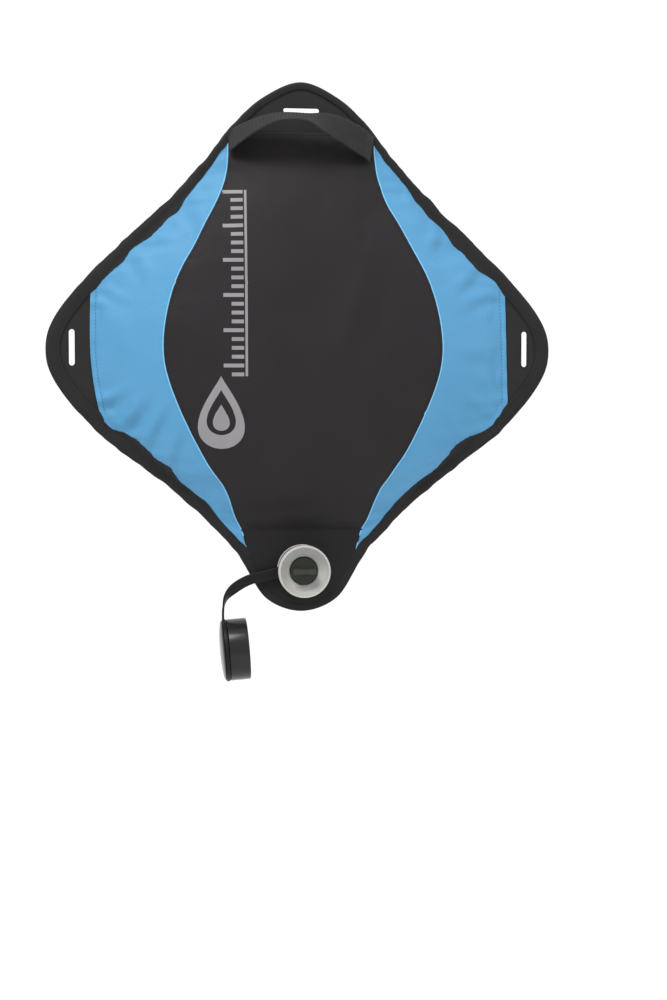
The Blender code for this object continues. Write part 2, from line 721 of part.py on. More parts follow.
clear_scene()
PARTS = new_collection("folding_water_bottle")
CUTTERS = new_collection("cutters")
make_cover()
make_bladder()
make_binding()
make_top_tab()
make_side_tab("left", -1)
make_side_tab("right", 1)
make_tap_patch()
make_handle()
make_gland()
make_collar()
make_rotor()
make_paddle()
make_upper_tether()
make_lower_tether()
make_cap()
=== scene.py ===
"""Looks of the folding water bag: sewn cloth, webbing, tap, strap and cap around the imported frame."""
import math
from bisect import bisect_left

import bmesh
import bpy
import numpy as np
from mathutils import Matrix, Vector, noise


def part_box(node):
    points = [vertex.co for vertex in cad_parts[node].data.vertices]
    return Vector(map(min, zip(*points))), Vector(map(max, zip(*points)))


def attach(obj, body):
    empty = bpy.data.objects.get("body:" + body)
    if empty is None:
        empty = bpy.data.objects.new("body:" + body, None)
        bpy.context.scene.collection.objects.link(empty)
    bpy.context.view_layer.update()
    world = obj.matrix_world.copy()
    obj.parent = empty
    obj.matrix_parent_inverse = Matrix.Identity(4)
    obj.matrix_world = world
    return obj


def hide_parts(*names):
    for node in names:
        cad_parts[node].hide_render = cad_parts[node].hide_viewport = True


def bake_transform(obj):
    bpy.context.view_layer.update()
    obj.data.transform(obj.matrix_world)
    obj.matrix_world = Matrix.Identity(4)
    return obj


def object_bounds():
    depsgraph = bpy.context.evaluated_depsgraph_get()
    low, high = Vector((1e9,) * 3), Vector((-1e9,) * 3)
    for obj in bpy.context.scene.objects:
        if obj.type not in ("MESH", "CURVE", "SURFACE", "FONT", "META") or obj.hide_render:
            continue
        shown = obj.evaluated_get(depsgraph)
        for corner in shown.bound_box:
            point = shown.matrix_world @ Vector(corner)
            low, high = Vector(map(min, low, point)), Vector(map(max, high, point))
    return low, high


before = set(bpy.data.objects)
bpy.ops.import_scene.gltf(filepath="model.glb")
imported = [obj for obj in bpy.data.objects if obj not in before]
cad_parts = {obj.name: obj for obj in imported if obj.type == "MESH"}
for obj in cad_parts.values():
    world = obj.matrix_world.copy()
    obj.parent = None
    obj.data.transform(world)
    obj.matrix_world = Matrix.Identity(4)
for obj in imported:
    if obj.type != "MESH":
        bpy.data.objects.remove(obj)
cad_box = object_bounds()

# Sizes, in metres -----------------------------------------------------------
# Right half of the bag's outline as (x, z), from the top tip to the bottom tip
OUTLINE = [(0.0, 0.0205), (0.029, 0.0085), (0.051, -0.0115), (0.068, -0.033), (0.0965, -0.0645),
           (0.152, -0.1175), (0.1835, -0.154), (0.192, -0.181), (0.1835, -0.208), (0.152, -0.2447),
           (0.0977, -0.287), (0.058, -0.325), (0.0445, -0.343), (0.027, -0.370), (0.0, -0.380)]
# Right seam of the centre panel as (x, z), from the top tab to the tap patch
SEAM = [(0.0565, -0.017), (0.055, -0.035), (0.0605, -0.062), (0.077, -0.096), (0.0965, -0.136),
        (0.104, -0.175), (0.099, -0.208), (0.078, -0.256), (0.0585, -0.286), (0.0515, -0.305),
        (0.0455, -0.3175), (0.0427, -0.3273), (0.0398, -0.3385)]
CENTRE_Z = -0.180
HALF_SIDE = 0.143
FRONT_BULGE = 0.0315
BACK_BULGE = 0.0265
TAPER = 0.062
ROUNDNESS = 0.62
SAG = 0.22
FILM_FILL = 0.88        # the bladder's bulge as a part of the cloth's
FILM_SHRINK = 1.09      # how much sooner the bladder's bulge ends than the cloth's
TAP_ROOM_DEPTH = 0.008
TAP_ROOM_R = 0.0195
RIM_RUN = 0.011         # run over which the cloth rises from the binding
COVER_Y = 0.0012        # cloth's middle where the bag is flat, each side of the seam plane
TOP_SEAM_Z = -0.017
BLUE_TOP_Z = -0.0240
PATCH_SEAM_Z = -0.3175
BLUE_TIP_Z = -0.3380
TAB_SEAM_X = 0.159
BINDING_WIDTH = 0.0100
BINDING_BOTTOM = 0.0065  # width of the binding round the bottom corner
BINDING_TOP = 0.0048     # and round the top tab
BINDING_HALF = 0.0013   # half the thickness of the folded binding
TUCK_SHARE = 0.60       # where the cloth ends under the binding, as a part of its width
CLOTH = 0.0005
PATCH_THICK = 0.0007

FORWARD = Vector((0.0, -1.0, 0.0))
TAP_Z = (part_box("gland")[0][2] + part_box("gland")[1][2]) / 2


# Lines in the bag's plane ---------------------------------------------------
def spline_through(points, steps, across_axis=False):
    """Smooth (Catmull-Rom) line through points, with steps segments per span."""
    first, last = points[0], points[-1]
    if across_axis:
        first, last = (-points[1][0], points[1][1]), (-points[-2][0], points[-2][1])
    ends = [first] + list(points) + [last]
    line = []
    for i in range(1, len(ends) - 2):
        before, start, stop, after = (Vector(p) for p in ends[i - 1:i + 3])
        for step in range(steps):
            t = step / steps
            line.append(0.5 * (2 * start + (stop - before) * t
                               + (2 * before - 5 * start + 4 * stop - after) * t ** 2
                               + (3 * start - before - 3 * stop + after) * t ** 3))
    line.append(Vector(points[-1]))
    return line


def ramp(value, start, end):
    """0 at start and before it, 1 at end and past it, smooth between."""
    return 0.5 - 0.5 * math.cos(math.pi * min(max((value - start) / (end - start), 0.0), 1.0))


def band_width(z):
    """Width of the binding; it narrows towards the top and the bottom corner."""
    width = BINDING_WIDTH + (BINDING_BOTTOM - BINDING_WIDTH) * ramp(z, -0.280, -0.330)
    return width + (BINDING_TOP - BINDING_WIDTH) * ramp(z, -0.085, -0.030)


def inset(line, share=1.0):
    """Inner edge of the binding, or a line part of the way to it, down the bag's right half."""
    moved = []
    for i, point in enumerate(line):
        along = line[min(i + 1, len(line) - 1)] - line[max(i - 1, 0)]
        if i in (0, len(line) - 1):
            along = Vector((1.0 if i == 0 else -1.0, 0.0))
        inward = Vector((along.y, -along.x)).normalized()
        moved.append(point + inward * (band_width(point.y) * share))
    return moved


def width_lookup(line):
    """Function giving x at height z on a line that runs downwards."""
    falls = [-p.y for p in line]

    def at(z):
        i = min(max(bisect_left(falls, -z), 1), len(line) - 1)
        low, high = line[i - 1], line[i]
        t = (low.y - z) / max(low.y - high.y, 1e-9)
        return low.x + (high.x - low.x) * min(max(t, 0.0), 1.0)
    return at


def resample(line, spacing):
    """Points at an even spacing along a line, with the distance run to each."""
    runs = [0.0]
    for low, high in zip(line, line[1:]):
        runs.append(runs[-1] + (high - low).length)
    count = max(round(runs[-1] / spacing), 2)
    points = []
    for i in range(count + 1):
        run = runs[-1] * i / count
        k = min(max(bisect_left(runs, run), 1), len(line) - 1)
        t = (run - runs[k - 1]) / max(runs[k] - runs[k - 1], 1e-12)
        points.append((line[k - 1].lerp(line[k], t), run))
    return points


EDGE = spline_through(OUTLINE, 12, across_axis=True)
INNER = inset(EDGE)
SEAM_LINE = spline_through(SEAM, 12)
inner_x = width_lookup(INNER)
tuck_x = width_lookup(inset(EDGE, TUCK_SHARE))
seam_x = width_lookup(SEAM_LINE)


# The filled bag's shape -----------------------------------------------------
def ease(t):
    """0 to 1, fast at first and slow at the end."""
    return math.sin(0.5 * math.pi * min(max(t, 0.0), 1.0))


def bell(distance, width):
    return math.exp(-(distance / width) ** 2)


def fullness(x, z):
    """0 at the seams and the corner patches, about 1 in the middle of the bag."""
    a = (x + z - CENTRE_Z) / math.sqrt(2) / HALF_SIDE
    b = (x - z + CENTRE_Z) / math.sqrt(2) / HALF_SIDE
    pillow = (max(1 - a * a, 0.0) * max(1 - b * b, 0.0)) ** ROUNDNESS
    flat = ease((TAB_SEAM_X - abs(x)) / TAPER)
    flat *= ease((TOP_SEAM_Z - z) / TAPER) * ease((z - PATCH_SEAM_Z) / TAPER)
    sag = 1.0 - SAG * (z - CENTRE_Z) / HALF_SIDE
    rim = ease((tuck_x(z) - abs(x)) / math.sqrt(2) / RIM_RUN)
    return pillow * flat * sag * rim


def tap_bump(x, z):
    """Room at the back for the tap's inner end."""
    r = math.hypot(x, z - TAP_Z)
    return TAP_ROOM_DEPTH * (0.5 + 0.5 * math.cos(math.pi * min(r / TAP_ROOM_R, 1.0)))


def lining(x, z, side):
    """Outside of the water bladder that the cloth lies on."""
    shrunk = FILM_FILL * fullness(FILM_SHRINK * x, CENTRE_Z + FILM_SHRINK * (z - CENTRE_Z))
    bulge = FRONT_BULGE if side < 0 else BACK_BULGE
    return 0.0014 + bulge * shrunk + (0.9 * tap_bump(x, z) if side > 0 else 0.0)


def front_start(x, z):
    return -COVER_Y - FRONT_BULGE * fullness(x, z)


def back_start(x, z):
    return COVER_Y + BACK_BULGE * fullness(x, z) + tap_bump(x, z)


def edge_ripple(z, seed):
    """Puckers along the sewn edge, from -1 to 1."""
    run = z * math.sqrt(2)
    return (0.50 * math.sin(run / 0.0033 + 5.0 * noise.noise((run * 22, seed, 0.0)))
            + 0.35 * math.sin(run / 0.0057 + 4.0 * noise.noise((run * 11, seed, 3.0)))
            + 0.50 * noise.noise((run * 75, seed, 7.0)))


def puckers(x, z, side):
    """How far the cloth stands out or in beside the binding and the seams."""
    edge = (inner_x(z) - abs(x)) / math.sqrt(2)
    sign = 1.0 if x > 0 else -1.0
    fall = bell(max(edge - 0.004, 0.0), 0.013) * min(max(edge / 0.004, 0.0), 1.0)
    lift = 0.00095 * edge_ripple(z, 2.0 * sign + 9.0 * side) * fall
    if side < 0:
        lift += folds(x, z) * min(max(edge / 0.006, 0.0), 1.0)
        off = abs(x) - seam_x(z)
        small = math.sin(z / 0.00105 + 2.2 * noise.noise((z * 90, sign, 1.0)))
        lift += 0.00012 * small * bell(off, 0.0035)
        lift += 0.00050 * noise.noise((z * 60, 4.0 * sign, 5.0)) * bell(off, 0.009)
        fold = hem_x(sign, z) - abs(x)
        lift += 0.00045 * bell(fold - 0.0012, 0.0022) - 0.00030 * bell(fold - 0.0042, 0.0010)
        lift += 0.00060 * noise.noise((z * 55, 8.0 * sign, 2.0)) * bell(fold - 0.006, 0.008)
    return lift


# Soft folds of the front as (x, z, direction in degrees, length, width, depth)
FOLDS = [(-0.130, -0.236, 50, 0.034, 0.0048, 0.0026), (-0.112, -0.244, 64, 0.030, 0.0042, 0.0021),
         (-0.144, -0.220, 28, 0.024, 0.0040, 0.0017), (-0.096, -0.258, 76, 0.024, 0.0040, 0.0015),
         (-0.146, -0.140, -24, 0.024, 0.0036, 0.0011), (-0.124, -0.118, -60, 0.024, 0.0046, 0.0011),
         (-0.098, -0.086, -52, 0.020, 0.0040, 0.0009), (0.140, -0.142, 24, 0.030, 0.0046, 0.0014),
         (0.128, -0.128, 42, 0.026, 0.0044, 0.0012), (0.104, -0.096, 58, 0.024, 0.0044, 0.0011),
         (0.118, -0.244, -56, 0.028, 0.0044, 0.0014), (0.138, -0.226, -30, 0.024, 0.0040, 0.0012),
         (0.132, -0.186, -8, 0.022, 0.0060, 0.0010), (-0.020, -0.296, 8, 0.050, 0.0050, 0.0009),
         (0.030, -0.286, -12, 0.040, 0.0050, 0.0008), (0.046, -0.150, 74, 0.060, 0.0090, 0.0012)]


def folds(x, z):
    """Depth of the soft folds at a point of the front."""
    lift = 0.0
    for fold_x, fold_z, degrees, length, width, depth in FOLDS:
        turn = math.radians(degrees)
        along = (x - fold_x) * math.cos(turn) + (z - fold_z) * math.sin(turn)
        across = (z - fold_z) * math.cos(turn) - (x - fold_x) * math.sin(turn)
        if abs(along) < 2 * length and abs(across) < 6 * width:
            reach = bell(along, length * 0.6)
            lift += depth * reach * (bell(across - width, width) - bell(across + width, width))
    return lift


def slack(x, z, side):
    """Soft hollows and tension folds of a hanging, part-filled bag."""
    lift = 0.0022 * noise.noise((x * 11, z * 9, 3.0 * side))
    lift += 0.0010 * noise.noise((x * 30, z * 22, 6.0 * side))
    for sign in (-1.0, 1.0):
        fold = (x - sign * 0.055) + sign * 0.42 * (z + 0.035)
        depth = ease((-0.04 - z) / 0.03) * ease((z + 0.21) / 0.12)
        lift -= 0.0011 * bell(fold, 0.0075) * depth
    return lift * ease(fullness(x, z) * 2.5)


# Cloth field: one sheet a side, run through cloth simulation ---------------
ROWS = 104
COLUMNS = 96
SWELL_CAP = 0.0055      # how far the simulation may move a point
SIMULATION_STEPS = 20
CLOTH_SETTINGS = {"quality": 6, "mass": 0.15, "tension_stiffness": 25, "compression_stiffness": 25,
                  "shear_stiffness": 8, "bending_stiffness": 0.6, "air_damping": 1.5,
                  "vertex_group_mass": "held", "use_pressure": True, "uniform_pressure_force": 1.2,
                  "vertex_group_shrink": "spread", "shrink_min": -0.004, "shrink_max": -0.030}


def hem_x(sign, z):
    """Where the cover ends at a side tab; the left hem bows and the right one slants."""
    rise = (z + 0.172) / 0.060
    if sign < 0:
        return TAB_SEAM_X - (0.0078 if rise < 0 else 0.0022) * rise * rise
    return TAB_SEAM_X - 0.0009 - 0.0018 * rise


def cover_left(z):
    return -min(tuck_x(z), hem_x(-1, z))


def cover_right(z):
    return min(tuck_x(z), hem_x(1, z))


class Sheet:
    """Grid of points over one side of the bag; point(x, z) reads between them."""

    def __init__(self, side, start, top, bottom):
        self.side = side
        self.top = top
        self.bottom = bottom
        self.points = np.zeros((ROWS + 1, COLUMNS + 1, 3))
        for i in range(ROWS + 1):
            z = top + (bottom - top) * i / ROWS
            for j in range(COLUMNS + 1):
                x = cover_left(z) + (cover_right(z) - cover_left(z)) * j / COLUMNS
                y = start(x, z) + side * slack(x, z, side)
                self.points[i, j] = (x, y, z)

    def simulate(self):
        """Lets the sheet swell and wrinkle under a little pressure, held at its seams."""
        rest = self.points.reshape(-1, 3)
        wide = COLUMNS + 1
        faces = []
        for i in range(ROWS):
            for j in range(COLUMNS):
                a = i * wide + j
                quad = (a, a + wide, a + wide + 1, a + 1)
                faces.append(quad if self.side < 0 else quad[::-1])
        mesh = bpy.data.meshes.new("sheet")
        mesh.from_pydata([tuple(p) for p in rest], [], faces)
        obj = bpy.data.objects.new("sheet", mesh)
        bpy.context.scene.collection.objects.link(obj)
        held = obj.vertex_groups.new(name="held")
        spread = obj.vertex_groups.new(name="spread")
        for i in range(ROWS + 1):
            for j in range(wide):
                k = i * wide + j
                x, z = rest[k, 0], rest[k, 2]
                edge = (inner_x(z) - abs(x)) / math.sqrt(2)
                if edge < 0.0015 or z < PATCH_SEAM_Z or i in (0, ROWS) or j in (0, COLUMNS):
                    held.add([k], 1.0, "REPLACE")
                if self.side > 0 and math.hypot(x, z - TAP_Z) < 0.024:
                    held.add([k], 1.0, "REPLACE")
                spread.add([k], bell(max(edge, 0.0), 0.030), "REPLACE")
        cloth = obj.modifiers.new("Cloth", "CLOTH")
        for key, value in CLOTH_SETTINGS.items():
            setattr(cloth.settings, key, value)
        cloth.settings.effector_weights.gravity = 0.0
        cloth.collision_settings.use_collision = False
        scene = bpy.context.scene
        for step in range(1, SIMULATION_STEPS + 1):
            scene.frame_set(step)
        shape = obj.evaluated_get(bpy.context.evaluated_depsgraph_get()).to_mesh()
        moved = np.array([v.co for v in shape.vertices])
        scene.frame_set(1)
        bpy.data.objects.remove(obj, do_unlink=True)
        shift = moved - rest
        length = np.linalg.norm(shift, axis=1, keepdims=True)
        shift *= np.minimum(1.0, SWELL_CAP / np.maximum(length, 1e-9))
        self.points = (rest + shift).reshape(ROWS + 1, wide, 3)

    def point(self, x, z):
        """Place in the bag of the cloth point that lay at (x, z)."""
        z = min(max(z, self.bottom), self.top)
        row = (z - self.top) / (self.bottom - self.top) * ROWS
        left, right = cover_left(z), cover_right(z)
        column = min(max((x - left) / (right - left), 0.0), 1.0) * COLUMNS
        i = min(int(row), ROWS - 1)
        j = min(int(column), COLUMNS - 1)
        s, t = row - i, column - j
        p = self.points
        low = p[i, j] * (1 - t) + p[i, j + 1] * t
        high = p[i + 1, j] * (1 - t) + p[i + 1, j + 1] * t
        place = low * (1 - s) + high * s
        height = self.side * place[1] + puckers(x, z, self.side)
        place[1] = self.side * max(height, lining(x, z, self.side))
        return Vector(place)


# Mesh helpers ---------------------------------------------------------------
def add_mesh(name, bm, material, smooth_angle=None):
    bmesh.ops.recalc_face_normals(bm, faces=bm.faces)
    mesh = bpy.data.meshes.new(name)
    bm.to_mesh(mesh)
    bm.free()
    obj = bpy.data.objects.new(name, mesh)
    bpy.context.scene.collection.objects.link(obj)
    obj.data.materials.append(material)
    obj.data.shade_smooth()
    if smooth_angle:
        obj.data.set_sharp_from_angle(angle=math.radians(smooth_angle))
    return obj


def apply_modifiers(obj):
    mesh = bpy.data.meshes.new_from_object(obj.evaluated_get(bpy.context.evaluated_depsgraph_get()))
    obj.modifiers.clear()
    obj.data = mesh
    return obj


def thicken(bm, depth):
    """Grows an open grid into a closed slab, moved by depth along Y."""
    grown = bmesh.ops.extrude_face_region(bm, geom=bm.faces[:])["geom"]
    verts = [g for g in grown if isinstance(g, bmesh.types.BMVert)]
    bmesh.ops.translate(bm, verts=verts, vec=(0.0, depth, 0.0))


def place_piece(piece, body, slot, *nodes):
    """Makes a piece ride on a body and hides the CAD nodes it stands for; slot is not used."""
    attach(piece, body)
    if nodes:
        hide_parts(*nodes)


def cut_away(obj, cutter):
    """Subtracts a cutter from a piece, and removes the cutter."""
    mod = obj.modifiers.new("Cut", "BOOLEAN")
    mod.operation = "DIFFERENCE"
    mod.solver = "EXACT"
    mod.object = cutter
    apply_modifiers(obj)
    bpy.data.objects.remove(cutter, do_unlink=True)


def fix_volume(obj):
    """Turns a closed mesh right side out."""
    bm = bmesh.new()
    bm.from_mesh(obj.data)
    if bm.calc_volume(signed=True) < 0:
        bmesh.ops.reverse_faces(bm, faces=bm.faces)
    bm.to_mesh(obj.data)
    bm.free()


def slab(name, top, bottom, left, right, rows, columns, place, depth, material):
    """Closed slab: a grid between two heights and two edges, where place(x, z) gives its points."""
    bm = bmesh.new()
    bmesh.ops.create_grid(bm, x_segments=columns, y_segments=rows, size=0.5)
    for v in bm.verts:
        z = bottom + (top - bottom) * (v.co.y + 0.5)
        x = left(z) + (right(z) - left(z)) * (v.co.x + 0.5)
        v.co = place(x, z)
    thicken(bm, depth)
    obj = add_mesh(name, bm, material, 50)
    fix_volume(obj)
    return obj


def skin(bm, sections, cyclic=False):
    """Faces over a row of closed sections of equal point count, capped unless the row is cyclic."""
    rings = [[bm.verts.new(p) for p in section] for section in sections]
    pairs = list(zip(rings, rings[1:]))
    if cyclic:
        pairs.append((rings[-1], rings[0]))
    for a, b in pairs:
        count = len(a)
        for k in range(count):
            bm.faces.new((a[k], a[(k + 1) % count], b[(k + 1) % count], b[k]))
    if not cyclic:
        bm.faces.new(rings[0][::-1])
        bm.faces.new(rings[-1])


def sweep(name, sections, material, cyclic=False, smooth_angle=50):
    """Closed piece whose surface runs over a row of cross-sections."""
    bm = bmesh.new()
    skin(bm, sections, cyclic)
    obj = add_mesh(name, bm, material, smooth_angle)
    fix_volume(obj)
    return obj


def turned(name, profile, origin, axis, material, steps=96, closed=False):
    """Solid of revolution; profile is (radius, distance along the axis) and may start on it."""
    turn = axis.to_track_quat("Z", "Y").to_matrix()
    bm = bmesh.new()
    rings = []
    across, upward, along = turn.col
    for r, h in profile:
        centre = origin + along * h
        ring = [centre] if r < 1e-7 else ellipse(centre, across, upward, r, r, steps)
        rings.append([bm.verts.new(p) for p in ring])
    pairs = list(zip(rings, rings[1:]))
    if closed:
        pairs.append((rings[-1], rings[0]))
    for a, b in pairs:
        for k in range(steps):
            n = (k + 1) % steps
            if len(a) == 1:
                bm.faces.new((a[0], b[k], b[n]))
            elif len(b) == 1:
                bm.faces.new((a[k], a[n], b[0]))
            else:
                bm.faces.new((a[k], a[n], b[n], b[k]))
    obj = add_mesh(name, bm, material, 32)
    fix_volume(obj)
    return obj


def rounded(points, radius, steps=3):
    """A closed or open profile whose corners are rounded with short arcs."""
    line = [points[0]]
    for before, corner, after in zip(points, points[1:], points[2:]):
        corner = Vector(corner)
        back = Vector(before) - corner
        ahead = Vector(after) - corner
        cut = min(radius, back.length * 0.45, ahead.length * 0.45)
        start = corner + back.normalized() * cut
        stop = corner + ahead.normalized() * cut
        for k in range(steps + 1):
            t = k / steps
            line.append(tuple(start * (1 - t) ** 2 + corner * 2 * t * (1 - t) + stop * t ** 2))
    line.append(points[-1])
    return line


STITCH_LENGTH = 0.0019
# Along a stitch: place as a part of its length, lift and size as parts of its radius
STITCH_SHAPE = [(-0.5, -0.5, 0.6), (-0.3, 0.3, 1.0), (0.0, 0.6, 1.1), (0.3, 0.3, 1.0), (0.5, -0.5, 0.6)]


def ellipse(centre, across, out, half_width, half_depth, count):
    """Ring of points round a centre."""
    turns = [2 * math.pi * k / count for k in range(count)]
    return [centre + across * (half_width * math.cos(t)) + out * (half_depth * math.sin(t)) for t in turns]


def stitch_row(name, places, material, radius=0.00023):
    """Short threads: places holds (middle, direction, normal) for each stitch."""
    bm = bmesh.new()
    for middle, along, out in places:
        along = along.normalized()
        side = along.cross(out).normalized()
        out = side.cross(along).normalized()
        sections = []
        for t, lift, size in STITCH_SHAPE:
            centre = middle + along * (t * STITCH_LENGTH) + out * (lift * radius)
            sections.append(ellipse(centre, side, out, radius * size, radius * size, 6))
        skin(bm, sections)
    return add_mesh(name, bm, material)


# Materials ------------------------------------------------------------------
class Shade:
    """Small builder for node materials."""

    def __init__(self, name, roughness, **sockets):
        self.material = bpy.data.materials.new(name)
        self.material.use_nodes = True
        self.tree = self.material.node_tree
        self.shader = self.tree.nodes["Principled BSDF"]
        self.shader.inputs["Roughness"].default_value = roughness
        for key, value in sockets.items():
            self.shader.inputs[key.replace("_", " ")].default_value = value
        self.place = self.tree.nodes.new("ShaderNodeTexCoord").outputs["Object"]

    def node(self, kind, **values):
        made = self.tree.nodes.new("ShaderNode" + kind)
        for key, value in values.items():
            setattr(made, key, value)
        return made

    def link(self, start, end):
        self.tree.links.new(start, end)

    def noise(self, scale, detail):
        made = self.node("TexNoise")
        made.inputs["Scale"].default_value = scale
        made.inputs["Detail"].default_value = detail
        self.link(self.place, made.inputs["Vector"])
        return made.outputs["Fac"]

    def wave(self, scale, direction, distortion=0.0):
        made = self.node("TexWave", bands_direction=direction)
        made.inputs["Scale"].default_value = scale
        made.inputs["Distortion"].default_value = distortion
        made.inputs["Detail Scale"].default_value = 2.0
        self.link(self.place, made.inputs["Vector"])
        return made.outputs["Fac"]

    def maths(self, operation, first, second):
        made = self.node("Math", operation=operation)
        for socket, value in zip(made.inputs, (first, second)):
            self.link_or_set(value, socket)
        return made.outputs[0]

    def mix(self, fac, first, second):
        made = self.node("Mix", data_type="RGBA")
        for index, value in ((0, fac), (6, first), (7, second)):
            self.link_or_set(value, made.inputs[index])
        return made.outputs[2]

    def link_or_set(self, value, socket):
        if isinstance(value, (int, float)):
            socket.default_value = value
        elif isinstance(value, tuple):
            socket.default_value = (*value, 1.0)
        else:
            self.link(value, socket)

    def bump(self, height, strength, distance, below=None):
        made = self.node("Bump")
        made.inputs["Strength"].default_value = strength
        made.inputs["Distance"].default_value = distance
        self.link(height, made.inputs["Height"])
        if below is not None:
            self.link(below, made.inputs["Normal"])
        return made.outputs["Normal"]

    def finish(self, colour, normal=None, roughness=None):
        for value, socket in ((colour, "Base Color"), (normal, "Normal"), (roughness, "Roughness")):
            if value is not None:
                self.link(value, self.shader.inputs[socket])
        return self.material


def coated_cloth(name, dark, light, roughness, sheen):
    """Coated nylon: fine plain weave, faint handling marks and a soft sheen."""
    s = Shade(name, roughness, Sheen_Weight=sheen, Sheen_Roughness=0.45, Specular_IOR_Level=0.15)
    warp = s.wave(620.0, "X")
    weft = s.wave(620.0, "Z")
    weave = s.maths("MULTIPLY", warp, weft)
    marks = s.noise(26.0, 5.0)
    fibres = s.noise(900.0, 2.0)
    colour = s.mix(s.maths("MULTIPLY", marks, 0.9), dark, light)
    colour = s.mix(s.maths("MULTIPLY", weave, 0.22), colour, tuple(c * 1.5 for c in light))
    colour = s.mix(s.maths("MULTIPLY", fibres, 0.16), colour, tuple(c * 0.5 for c in dark))
    normal = s.bump(s.noise(70.0, 4.0), 0.25, 0.0006)
    normal = s.bump(weave, 0.35, 0.00012, normal)
    rough = s.maths("ADD", s.maths("MULTIPLY", marks, 0.18), roughness - 0.09)
    return s.finish(colour, normal, rough)


def tape_cloth():
    """Binding tape: fine ribs, darker and duller than the panels."""
    s = Shade("binding_tape_look", 0.72, Sheen_Weight=0.03, Specular_IOR_Level=0.12)
    ribs = s.wave(420.0, "DIAGONAL")
    marks = s.noise(45.0, 4.0)
    colour = s.mix(s.maths("MULTIPLY", marks, 0.9), (0.0065, 0.0062, 0.0065), (0.0145, 0.0138, 0.0145))
    colour = s.mix(s.maths("MULTIPLY", ribs, 0.18), colour, (0.026, 0.025, 0.026))
    normal = s.bump(s.noise(90.0, 4.0), 0.3, 0.0006)
    normal = s.bump(ribs, 0.35, 0.00015, normal)
    return s.finish(colour, normal)


def webbing_cloth():
    """Nylon webbing: the ribs are in its mesh, the yarns in its bump."""
    s = Shade("webbing_look", 0.68, Sheen_Weight=0.05, Specular_IOR_Level=0.15)
    yarn = s.wave(900.0, "X", 1.0)
    marks = s.noise(120.0, 4.0)
    colour = s.mix(marks, (0.007, 0.007, 0.007), (0.016, 0.016, 0.017))
    colour = s.mix(s.maths("MULTIPLY", yarn, 0.2), colour, (0.034, 0.034, 0.035))
    normal = s.bump(yarn, 0.4, 0.00015)
    return s.finish(colour, normal)


def thread(name, dark, light):
    s = Shade(name, 0.70, Sheen_Weight=0.02, Specular_IOR_Level=0.10)
    twist = s.wave(1500.0, "DIAGONAL")
    return s.finish(s.mix(twist, dark, light), s.bump(twist, 0.4, 0.0001))


def moulded(name, dark, light, roughness, grain=0.00006, **sockets):
    """Moulded plastic or rubber with a faint grain and soft wear."""
    s = Shade(name, roughness, **sockets)
    marks = s.noise(60.0, 5.0)
    colour = s.mix(marks, dark, light)
    normal = s.bump(s.noise(1400.0, 2.0), 0.25, grain)
    normal = s.bump(s.noise(180.0, 3.0), 0.15, grain * 2, normal)
    rough = s.maths("ADD", s.maths("MULTIPLY", s.noise(140.0, 4.0), 0.12), roughness - 0.06)
    return s.finish(colour, normal, rough)


BLACK = coated_cloth("black_cloth_look", (0.0072, 0.0060, 0.0068), (0.0140, 0.0123, 0.0136), 0.62, 0.035)
BLUE = coated_cloth("blue_cloth_look", (0.050, 0.186, 0.334), (0.077, 0.234, 0.392), 0.50, 0.05)
PATCH = coated_cloth("patch_cloth_look", (0.0052, 0.0044, 0.0049), (0.0102, 0.0090, 0.0099), 0.66, 0.025)
TAB = coated_cloth("tab_cloth_look", (0.0080, 0.0078, 0.0080), (0.0145, 0.0140, 0.0145), 0.66, 0.03)
TAPE = tape_cloth()
WEB = webbing_cloth()
# Paler blue of the seam ridges: a painted highlight along each seam edge.
SEAM_HIGHLIGHT_BLUE = coated_cloth("seam_edge_painted_highlight_look", (0.110, 0.330, 0.520), (0.160, 0.400, 0.600), 0.50, 0.05)
BLACK_THREAD = thread("black_thread_look", (0.006, 0.006, 0.006), (0.020, 0.019, 0.020))
BLUE_THREAD = thread("blue_thread_look", (0.014, 0.085, 0.180), (0.035, 0.150, 0.290))
PRINT = moulded("print_look", (0.150, 0.143, 0.150), (0.205, 0.196, 0.205), 0.55, Specular_IOR_Level=0.2)
CLEAR = moulded("clear_tap_look", (0.36, 0.36, 0.345), (0.42, 0.42, 0.40), 0.30, Transmission_Weight=0.15,
                Subsurface_Weight=0.25, Subsurface_Scale=0.004, Specular_IOR_Level=0.35)
WHITE = moulded("gland_look", (0.40, 0.40, 0.385), (0.48, 0.48, 0.46), 0.38)
GREY = moulded("paddle_look", (0.016, 0.018, 0.013), (0.030, 0.032, 0.026), 0.40, Specular_IOR_Level=0.2)
STRAP = moulded("strap_look", (0.004, 0.003, 0.004), (0.009, 0.008, 0.009), 0.42, Specular_IOR_Level=0.12)
GLOSS = moulded("cap_look", (0.0075, 0.0070, 0.0080), (0.0120, 0.0112, 0.0122), 0.22, 0.00002,
                Specular_IOR_Level=0.22)
RUBBER = moulded("seal_look", (0.005, 0.005, 0.005), (0.010, 0.010, 0.010), 0.60, Specular_IOR_Level=0.2)
FILM = moulded("film_look", (0.40, 0.42, 0.45), (0.52, 0.54, 0.57), 0.25, Metallic=0.6)


# Cover ----------------------------------------------------------------------
def make_sheets():
    front = Sheet(-1, front_start, TOP_SEAM_Z, BLUE_TIP_Z)
    back = Sheet(1, back_start, TOP_SEAM_Z, INNER[-1].y - 0.002)
    front.simulate()
    back.simulate()
    return front, back


def seam_left(z):
    return -seam_x(z)


